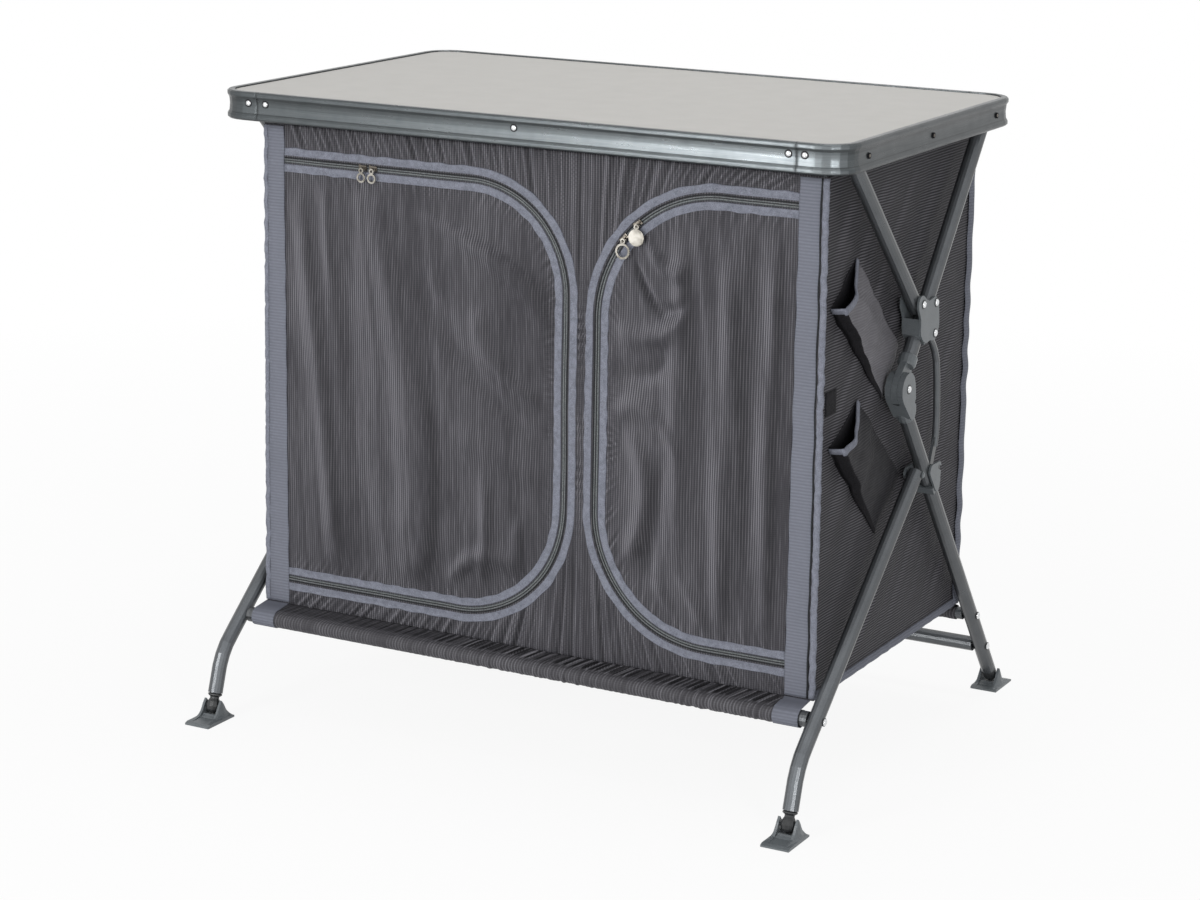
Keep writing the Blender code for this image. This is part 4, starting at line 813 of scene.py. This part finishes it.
def dress_back():
    flat, faces = fill(rectangle(CASE_X, CASE_BOTTOM, CASE_TOP), [], BACK_GRID)
    x, z = flat.T
    calm = smoothstep(np.minimum.reduce([CASE_X - np.abs(x), z - CASE_BOTTOM, CASE_TOP - z]), 0.004, 0.06)
    lean = x + 0.12 * z
    swell = calm * (0.0015 + 0.002 * ripple(lean, 111, 0.12) + 0.001 * ripple(x - 0.3 * z, 112, 0.05)
                    + 0.0005 * ripple(lean, 113, 0.018))
    panel = add_object("back_cloth", np.column_stack((x, CASE_Y - CLOTH / 2 + swell, z)), faces, "cloth_up")
    hang(panel, "back_panel", flat=(2 * CASE_X, CASE_TOP - CASE_BOTTOM), held="stretched",
         rests_on=["rail_left", "rail_right"])


for label, side in SIDES:
    dress_side(label, side)
dress_back()

# Sleeves round the two lower bars
SLEEVE_WRAP = math.radians(300)
SLEEVE_CLOTH = 0.0006
SLEEVE_GRID = 0.0017
SLOPE_STEPS, WRAP_STEPS = 13, 44
STRAP = (0.352, 0.3855)
FRONT_SLEEVE, REAR_SLEEVE = 0.353, 0.386
FRONT_SEAM, REAR_SEAM, STRAP_SEAM = (-0.2221, 0.1372), (0.2192, 0.1404), (-0.2225, 0.1376)
SLEEVE_RISE, STRAP_RISE = 0.0004, 0.0013


def sleeve_section(bar, rim, extra):
    """Points of a sleeve's section from its seam at the case to the bar and round it, and the way out."""
    middle, seam, radius = np.array(bar[:2]), np.array(rim), bar[2]
    way = -1 if middle[0] < 0 else 1
    reach = radius + SLEEVE_CLOTH + extra
    across, up = seam - middle
    lift = math.asin(reach / math.hypot(across, up))
    touch = math.atan2(up, across) - way * (math.pi / 2 - lift)
    wrap = touch - way * SLEEVE_WRAP * np.linspace(0, 1, WRAP_STEPS)
    angles = np.concatenate((np.full(SLOPE_STEPS, touch), wrap))
    ways = np.column_stack((np.cos(angles), np.sin(angles)))
    points = middle + reach * ways
    share = np.arange(SLOPE_STEPS)[:, None] / SLOPE_STEPS
    points[:SLOPE_STEPS] = seam + (points[:SLOPE_STEPS] - seam) * share
    return points, ways


def dress_sleeve(name, bar, rim, low, high, extra, look, body, ruffle, seed, node=None):
    """Cloth from the case's lower edge to a bar and round it, gathered on the slope, finely on the bar."""
    points, ways = sleeve_section(bar, rim, extra)
    run = run_along(points)
    xs = np.linspace(low, high, max(8, round((high - low) / SLEEVE_GRID)) + 1)
    x = xs[:, None]
    flap = smoothstep(run, 0.001, 0.008) * (1 - smoothstep(run, run[-1] - 0.01, run[-1]))
    slope = 1 - smoothstep(run, 0.02, 0.03)
    lean = x - SLEEVE_SLANT * points[:, 0]
    calm = 0.2 + 0.8 * smoothstep(x, low + 0.14, low + 0.34)
    gathers = 0.0013 * ripple(lean, seed, 0.0078, 0.45) + 0.0006 * ripple(lean, seed + 1, 0.016)
    rounds = 0.0003 * ripple(x + 0.2 * run, seed + 2, 0.008) + 0.0003 * ripple(x, seed + 3, 0.019)
    waves = ruffle * calm * (slope * gathers + (1 - slope) * rounds)
    seam_line = np.maximum(-0.0006 * np.exp(-((run - 0.029) / 0.0012) ** 2) * ruffle, -0.0004)
    offset = np.maximum(flap * waves, -0.0007) + seam_line
    # Painted light and shade on the sleeve: how its waves turn, pale streaks along the gathers of the slope,
    # and shade on the slope towards its left end.
    painted_streaks = 1.6 * ripple(lean, seed + 4, 0.01, 0.5) - 0.3
    painted_fold_shade = np.gradient(offset, xs, axis=0) + slope * ruffle * (calm * painted_streaks - 0.35 * (1 - calm))
    around = points[None] + offset[..., None] * ways[None]
    vertices = np.column_stack((np.repeat(xs, len(run)), around.reshape(-1, 2)))
    piece = add_object(name, vertices, grid_faces(len(xs), len(run)), look, body,
                       painted_fold_shade=np.clip(painted_fold_shade, -1, 1).ravel())
    piece.data.update()
    first = piece.data.polygons[len(run) // 2]
    outward = np.array(first.center) - vertices.mean(0)
    if np.array(first.normal)[1:] @ outward[1:] < 0:
        piece.data.flip_normals()
    thicken(piece, SLEEVE_CLOTH, 0.0)
    if node:
        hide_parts(node)


dress_sleeve("front_sleeve", FRONT_BAR, FRONT_SEAM, -FRONT_SLEEVE, FRONT_SLEEVE, SLEEVE_RISE, "sleeve",
             "front_legs", 1.0, 121, "front_bar_sleeve")
dress_sleeve("rear_sleeve", REAR_BAR, REAR_SEAM, -REAR_SLEEVE, REAR_SLEEVE, SLEEVE_RISE, "sleeve",
             "rear_legs", 0.7, 131, "rear_bar_sleeve")
for label, side in SIDES:
    low, high = sorted(side * x for x in STRAP)
    dress_sleeve(f"front_strap_{label}", FRONT_BAR, STRAP_SEAM, low, high, STRAP_RISE, "tape",
                 "front_legs", 0.0, 141)

# Floor deck, shelves and divider: boards in cloth
BOARD_EDGE = 0.004
BOARD_ROUND = 0.45
DIVIDER_CLOTH = 0.001


def padded_board(node, columns=60, rows=40):
    """A cloth-covered board with soft edges, crowned a little between them."""
    low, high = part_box(node)
    grid_x, grid_y = np.meshgrid(np.linspace(low.x, high.x, columns), np.linspace(low.y, high.y, rows),
                                 indexing="ij")
    edge = np.minimum.reduce([grid_x - low.x, high.x - grid_x, grid_y - low.y, high.y - grid_y])
    round_over = np.sqrt(np.clip(1 - (1 - np.clip(edge / BOARD_EDGE, 0, 1)) ** 2, 0, 1))
    sag = 0.0004 * ripple(grid_x + 0.5 * grid_y, 151, 0.09) * smoothstep(edge, 0.0, 0.03)
    middle = (low.z + high.z) / 2
    crown = (high.z - low.z) / 2 * (1 - BOARD_ROUND + BOARD_ROUND * round_over)
    top = middle + crown + np.minimum(sag, 0)
    under = middle - crown + np.maximum(sag, 0) * 0.5
    vertices = [np.column_stack((grid_x.ravel(), grid_y.ravel(), level.ravel())) for level in (top, under)]
    count = columns * rows
    faces = grid_faces(columns, rows)
    faces += [tuple(count + index for index in reversed(face)) for face in faces]
    spots = np.arange(count).reshape(columns, rows)
    ring = [*spots[:, 0], *spots[-1, 1:], *spots[-2::-1, -1], *spots[0, -2:0:-1]]
    around = zip(ring, ring[1:] + ring[:1])
    faces += [(first, count + first, count + second, second) for first, second in around]
    board = add_object(f"{node}_cloth", np.vstack(vertices), faces, "cloth_plain")
    face_outward(board)
    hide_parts(node)
    crumple(board)


def dress_divider():
    low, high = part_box("divider")
    flat, faces = fill(rectangle(high.y, low.z, high.z), [], DIVIDER_GRID)
    y, z = flat.T
    x = (low.x + high.x) / 2 + 0.0005 * (1 + ripple(y + 0.3 * z, 161, 0.08))
    piece = add_object("divider_cloth", np.column_stack((x, y, z)), faces, "cloth_plain")
    hang(piece, "divider", DIVIDER_CLOTH, flat=(high.y - low.y, high.z - low.z), held="stretched",
         rests_on=["floor_deck"])


for node in ("floor_deck", "shelf_left", "shelf_right"):
    padded_board(node)
dress_divider()

# Side pockets: pouches whose tip side folds over a gusset painted dark as shade, with a bound mouth and a
# dark sheet under the mouth as painted shadow
POCKETS = {"upper": ((-0.1334, 0.6505), (-0.2057, 0.6029), (-0.0511, 0.4663), (0.0014, 0.5226)),
           "lower": ((-0.1177, 0.4785), (-0.2002, 0.437), (-0.0595, 0.3017), (0.0184, 0.3579))}
POCKET_FLAT = {"upper": (0.093, 0.19), "lower": (0.102, 0.181)}
POCKET_SEEDS = {"upper": 171, "lower": 181}
DIMPLES = {"upper": [(0.44, 0.4, 0.1, 0.1, -0.003), (0.6, 0.3, 0.1, 0.16, 0.0012)],
           "lower": [(0.55, 0.42, 0.5, 0.05, 0.0022), (0.45, 0.52, 0.4, 0.06, -0.003),
                     (0.7, 0.7, 0.07, 0.3, 0.0022), (0.35, 0.8, 0.1, 0.12, -0.002)]}
MOUTH_PROFILE = ((-0.0014, -0.0004), (-0.0014, 0.001), (0.0005, 0.0017), (0.0082, 0.0014), (0.0087, 0.0004),
                 (0.008, -0.0012), (0.0, -0.0012))
PATCH = [(-0.2115, 0.4775), (-0.18, 0.4775), (-0.18, 0.506), (-0.2115, 0.506)]
GUSSET, GUSSET_LEAN, GUSSET_COLUMNS = 0.15, 0.05, 6
POUCH_COLUMNS, POUCH_ROWS = 40, 44
POUCH_RISE, POUCH_CLEAR = 0.018, 0.0014
MOUTH_SAG = 0.012
MOUTH_SHADOW_REACH = 0.4
MOUTH_SHADOW_GRID, PATCH_GRID = 0.005, 0.004
PATCH_CLOTH, PATCH_CLEAR = 0.0004, 0.0007


def pouch_points(label, across, down):
    """Points of a pouch: across from its tip side over the gusset to its sewn side, down from its mouth."""
    top, tip, low, right = (np.array(corner) for corner in POCKETS[label])
    rising = np.clip(across / GUSSET, 0, 1)
    beyond = np.clip((across - GUSSET) / (1 - GUSSET), 0, 1)
    spread = (GUSSET_LEAN * rising + (1 - GUSSET_LEAN) * beyond)[:, None]
    share = down[:, None]
    spot = (tip + (top - tip) * spread) * (1 - share) + (low + (right - low) * spread) * share
    inward = (low + right - tip - top) / np.linalg.norm(low + right - tip - top)
    spot = spot + inward * MOUTH_SAG * np.sin(math.pi * spread) * (1 - share) ** 2
    fade = np.maximum(np.cos(math.pi / 2 * down), 0) ** 1.1
    face = np.maximum(np.cos(math.pi / 2 * beyond), 0) ** 1.2
    rise = POUCH_RISE * fade * np.where(across < GUSSET, rising ** 0.7, face)
    for middle, depth, wide, tall, height in DIMPLES[label]:
        dimple = np.exp(-((beyond - middle) / wide) ** 2 - ((down - depth) / tall) ** 2)
        rise = rise + height * fade * face * dimple
    rise = rise + 0.001 * fade * face * ripple(beyond * 0.09 - down * 0.05, POCKET_SEEDS[label], 0.035)
    y, z = spot.T
    return np.column_stack((PANEL_X + side_swell(y, z, 1) + np.maximum(rise, 0) + POUCH_CLEAR, y, z))


def bind_mouth(label, across):
    """The binding along a pouch's mouth."""
    mouth = pouch_points(label, across, np.zeros(len(across)))
    below = pouch_points(label, across, np.full(len(across), 0.02)) - mouth
    rings = []
    for spot, down_way, run_way in zip(mouth, below, np.gradient(mouth, axis=0)):
        run_way = Vector(run_way).normalized()
        down_way = Vector(down_way)
        down_way = (down_way - run_way * down_way.dot(run_way)).normalized()
        out = run_way.cross(down_way).normalized()
        out = out if out.x > 0 else -out
        rings.append([Vector(spot) + down_way * d + out * h for d, h in MOUTH_PROFILE])
    return sweep(f"pocket_binding_{label}", rings, "zip_tape")


def dress_pocket(label):
    across = np.concatenate((np.linspace(0, GUSSET, GUSSET_COLUMNS + 1),
                             np.linspace(GUSSET, 1, POUCH_COLUMNS - GUSSET_COLUMNS + 1)[1:]))
    down = np.linspace(0, 1, POUCH_ROWS + 1)
    spots = pouch_points(label, np.tile(across, len(down)), np.repeat(down, len(across)))
    lift = spots[:, 0].reshape(len(down), len(across))
    painted_fold_shade = np.clip(POUCH_SHADE_GAIN * np.gradient(lift, axis=1) - POUCH_SHADE_GAIN * np.gradient(lift, axis=0), -1, 1)
    pouch = add_object(f"pocket_cloth_{label}", spots, grid_faces(len(down), len(across)), f"pocket_{label}",
                       painted_fold_shade=painted_fold_shade.ravel())
    # The gusset faces take the dark look as painted shade.
    pouch.data.materials.append(LOOKS["shadow_and_dark"])
    gusset_shade = [int(index % POUCH_COLUMNS < GUSSET_COLUMNS) for index in range(POUCH_ROWS * POUCH_COLUMNS)]
    pouch.data.polygons.foreach_set("material_index", gusset_shade)
    if pouch.data.polygons[POUCH_ROWS * POUCH_COLUMNS // 2 + POUCH_COLUMNS // 2].normal.x < 0:
        pouch.data.flip_normals()
    binding = bind_mouth(label, across)
    hang(pouch, f"side_pocket_{label}", flat=POCKET_FLAT[label], held="gathered",
         rests_on=["side_cloth_right"], with_pieces=[binding])
    crumple(binding)


def lay_patch(name, corners, spacing):
    """A dark sheet flat on the right side panel; under a pocket's mouth it is a painted shadow."""
    flat, faces = fill(corners, [], spacing)
    y, z = flat.T
    vertices = np.column_stack((PANEL_X + PATCH_CLEAR + side_swell(y, z, 1), y, z))
    piece = add_object(name, vertices, faces, "shadow_and_dark")
    edges = [math.dist(first, second) for first, second in zip(corners, [*corners[1:], corners[0]])]
    hang(piece, None, PATCH_CLOTH, flat=(max(edges[0], edges[2]), max(edges[1], edges[3])), held="laid",
         rests_on=["side_cloth_right"])


for label, (top, tip, low, right) in POCKETS.items():
    dress_pocket(label)
    # Under each pocket's mouth a dark sheet is painted shadow.
    reach = [tuple(np.array(start) * (1 - MOUTH_SHADOW_REACH) + np.array(end) * MOUTH_SHADOW_REACH)
             for start, end in ((tip, low), (top, right))]
    lay_patch(f"pocket_mouth_shadow_{label}", [tip, *reach, top], MOUTH_SHADOW_GRID)
lay_patch("side_patch", PATCH, PATCH_GRID)

# Bright heads of the rivets, screws and pins, and the dark rings round them
SEAM_RIVETS = [(x, 0.7865) for x in (-0.376, -0.351, 0.0, 0.3535, 0.3735)]
SIDE_RIVETS = [(y, 0.7815) for y in (-0.196, -0.006, 0.199)]
HUB_PINS = ((-0.001, 0.577), (0.0393, 0.5727), (0.039, 0.535))
KNEE_PIN = (-0.034, 0.479)
LEG_SCREWS = {"front_legs": [FRONT_BAR[:2]], "rear_legs": [REAR_BAR[:2], CROSS_BAR[:2]]}
RIM_DEPTH = 0.0033
HEAD_STEPS = 20
HEAD_EDGE, METAL_EDGE = math.radians(50), math.radians(38)
FLAT = ((1.0, 0.0), (1.0, 1.0))
DOME = ((1.0, 0.0), (1.0, 0.3), (0.88, 0.62), (0.64, 0.86), (0.34, 0.97))


def add_heads(name, spots, profile, radius, height, look, body, slot):
    """Round heads in one mesh: a spot is the middle of a head's base and the way that it faces."""
    vertices, faces = [], []
    for base, way in spots:
        base, turn = Vector(base), Vector(way).to_track_quat("Z", "Y")
        first = len(vertices)
        last = first + (len(profile) - 1) * HEAD_STEPS
        for share, level in profile:
            for angle in np.linspace(0, 2 * math.pi, HEAD_STEPS, endpoint=False):
                across, up = radius * share * math.cos(angle), radius * share * math.sin(angle)
                vertices.append(base + turn @ Vector((across, up, height * level)))
        vertices.append(base + turn @ Vector((0, 0, height)))
        tip = len(vertices) - 1
        sides = grid_faces(len(profile), HEAD_STEPS, closed=True)
        faces += [tuple(first + index for index in face) for face in sides]
        faces += [(last + step, last + (step + 1) % HEAD_STEPS, tip) for step in range(HEAD_STEPS)]
        faces.append(tuple(first + step for step in reversed(range(HEAD_STEPS))))
    heads = add_object(name, vertices, faces, look, body, slot)
    heads.data.set_sharp_from_angle(angle=HEAD_EDGE)


def across_frame(points, depth):
    """Spots on the outer faces of both end frames at this distance from the middle."""
    return [((side * depth, *point), (side, 0, 0)) for _, side in SIDES for point in points]


seam_spots = [((x, way * (RIM_Y - RIM_DEPTH), z), (0, way, 0)) for way in (-1, 1) for x, z in SEAM_RIVETS]
side_spots = across_frame(SIDE_RIVETS, RIM_X - RIM_DEPTH)
add_heads("rim_rivet_rings", seam_spots, FLAT, 0.0047, 0.0012, "shadow_and_dark", "root", "rim")
add_heads("rim_rivets", seam_spots, DOME, 0.0038, 0.0028, "bright", "root", "zip_metal")
add_heads("rim_side_rivet_rings", side_spots, FLAT, 0.0036, 0.002, "shadow_and_dark", "root", "rim")
add_heads("rim_side_rivets", side_spots, DOME, 0.0026, 0.0027, "dull_nickel", "root", "zip_metal")
for body, points in LEG_SCREWS.items():
    spots = across_frame(points, FRAME_X + 0.0088)
    add_heads(f"{body}_screw_rings", spots, FLAT, 0.005, 0.0016, "dark_nylon", body, "tube_paint")
    spots = across_frame(points, FRAME_X + 0.009)
    add_heads(f"{body}_screws", spots, DOME, 0.0046, 0.0034, "bright", body, "zip_metal")
for ring, head, points, depth, radius in (("hub_pin_rings", "hub_pins", HUB_PINS, 0.0125, 0.0056),
                                          ("knee_pin_ring", "knee_pins", [KNEE_PIN], 0.0113, 0.006)):
    spots = across_frame(points, FRAME_X + depth)
    add_heads(ring, spots, FLAT, radius, 0.0006, "dark_nylon", "upper_rear", "bracket_nylon")
    spots = across_frame(points, FRAME_X + depth + 0.0002)
    add_heads(head, spots, DOME, 0.0043, 0.0024, "bright", "upper_rear", "zip_metal")

# Finish of the frame's own parts
FINISHES = {"laminate": ("worktop",), "rim": ("rim",), "rail": ("rail",), "steel": ("front_lower",),
            "paint": ("top", "upper", "rear", "front_leg", "stay"), "dull_nickel": ("zip_slider",),
            "nylon": ("hub", "knuckle", "lower", "foot_pad"), "dark_nylon": ("foot_plug",),
            "nickel": ("zip_pull",)}
for name, node in nodes.items():
    if node.hide_render:
        continue
    look = next(look for look, starts in FINISHES.items() if name.startswith(starts))
    node.data.materials.clear()
    node.data.materials.append(LOOKS[look])
    node.data.shade_smooth()
    node.data.set_sharp_from_angle(angle=METAL_EDGE)

# Floor, world and lamps
FLOOR_SIZE = 30.0
FLOOR_GLOW = 0.91
FLOOR_COLOUR = (0.93, 0.93, 0.93, 1.0)
GLOW_NEAR, GLOW_FAR = 0.8, 2.6
WORLD_FILL = 0.4
WHITE = (1.0, 1.0, 1.0, 1.0)


def seen_rays(tree):
    """One for the rays that should meet the white background: seen, mirrored or through a surface."""
    rays = add_node(tree, "LightPath").outputs
    seen = calc(tree, "MAXIMUM", rays["Is Camera Ray"], rays["Is Glossy Ray"])
    return calc(tree, "MAXIMUM", seen, rays["Is Transmission Ray"])


def make_stage():
    mesh = bpy.data.meshes.new("floor")
    corners = rectangle(FLOOR_SIZE, -FLOOR_SIZE, FLOOR_SIZE)
    mesh.from_pydata([(*corner, 0) for corner in corners], [], [(0, 1, 2, 3)])
    tree, shader = new_look("floor", 0.9, specular=0.0)
    set_inputs(tree, shader, {"Base Color": FLOOR_COLOUR})
    glow = add_node(tree, "Emission", {"Color": WHITE, "Strength": 1.0})
    distance = add_node(tree, "VectorMath", {0: own_place(tree)}, operation="LENGTH").outputs["Value"]
    glow_share = remap(tree, distance, GLOW_NEAR, GLOW_FAR, FLOOR_GLOW, 1.0)
    share = calc(tree, "MULTIPLY", seen_rays(tree), glow_share)
    mixed = add_node(tree, "MixShader", {0: share, 1: shader.outputs[0], 2: glow.outputs[0]})
    set_inputs(tree, tree.nodes["Material Output"], {"Surface": mixed.outputs[0]})
    mesh.materials.append(LOOKS["floor"])
    floor = bpy.data.objects.new("floor", mesh)
    bpy.context.scene.collection.objects.link(floor)


def make_world():
    world = bpy.data.worlds.new("studio")
    bpy.context.scene.world = world
    world.use_nodes = True
    tree = world.node_tree
    strength = remap(tree, seen_rays(tree), 0.0, 1.0, WORLD_FILL, 1.0)
    set_inputs(tree, tree.nodes["Background"], {"Color": WHITE, "Strength": strength})


def add_lamp(name, place, target, size, power, tall=1.0):
    """An area lamp of this width, so many times as tall, turned to its target."""
    data = bpy.data.lights.new(name, "AREA")
    data.shape = "RECTANGLE"
    data.size = size
    data.size_y = size * tall
    data.energy = power
    lamp = bpy.data.objects.new(name, data)
    lamp.location = place
    lamp.rotation_mode = "QUATERNION"
    lamp.rotation_quaternion = (Vector(target) - Vector(place)).to_track_quat("-Z", "Y")
    bpy.context.scene.collection.objects.link(lamp)


make_stage()
make_world()
add_lamp("key", (-1.1, -3.8, 1.9), (0, 0, 0.4), 1.2, 45)
add_lamp("front_low", (-0.95, -3.4, 0.34), (0.2, 0, 0.65), 0.8, 27)
add_lamp("overhead", (0.2, 0.3, 3.4), (0, 0, 0.8), 1.6, 33)
add_lamp("right", (2.7, -2.6, 1.0), (0.2, 0, 0.5), 0.36, 27, 4.0)
add_lamp("right_rear", (2.6, 1.5, 2.2), (0, 0, 0.4), 1.0, 2.5)
bpy.context.scene.view_settings.view_transform = "Standard"
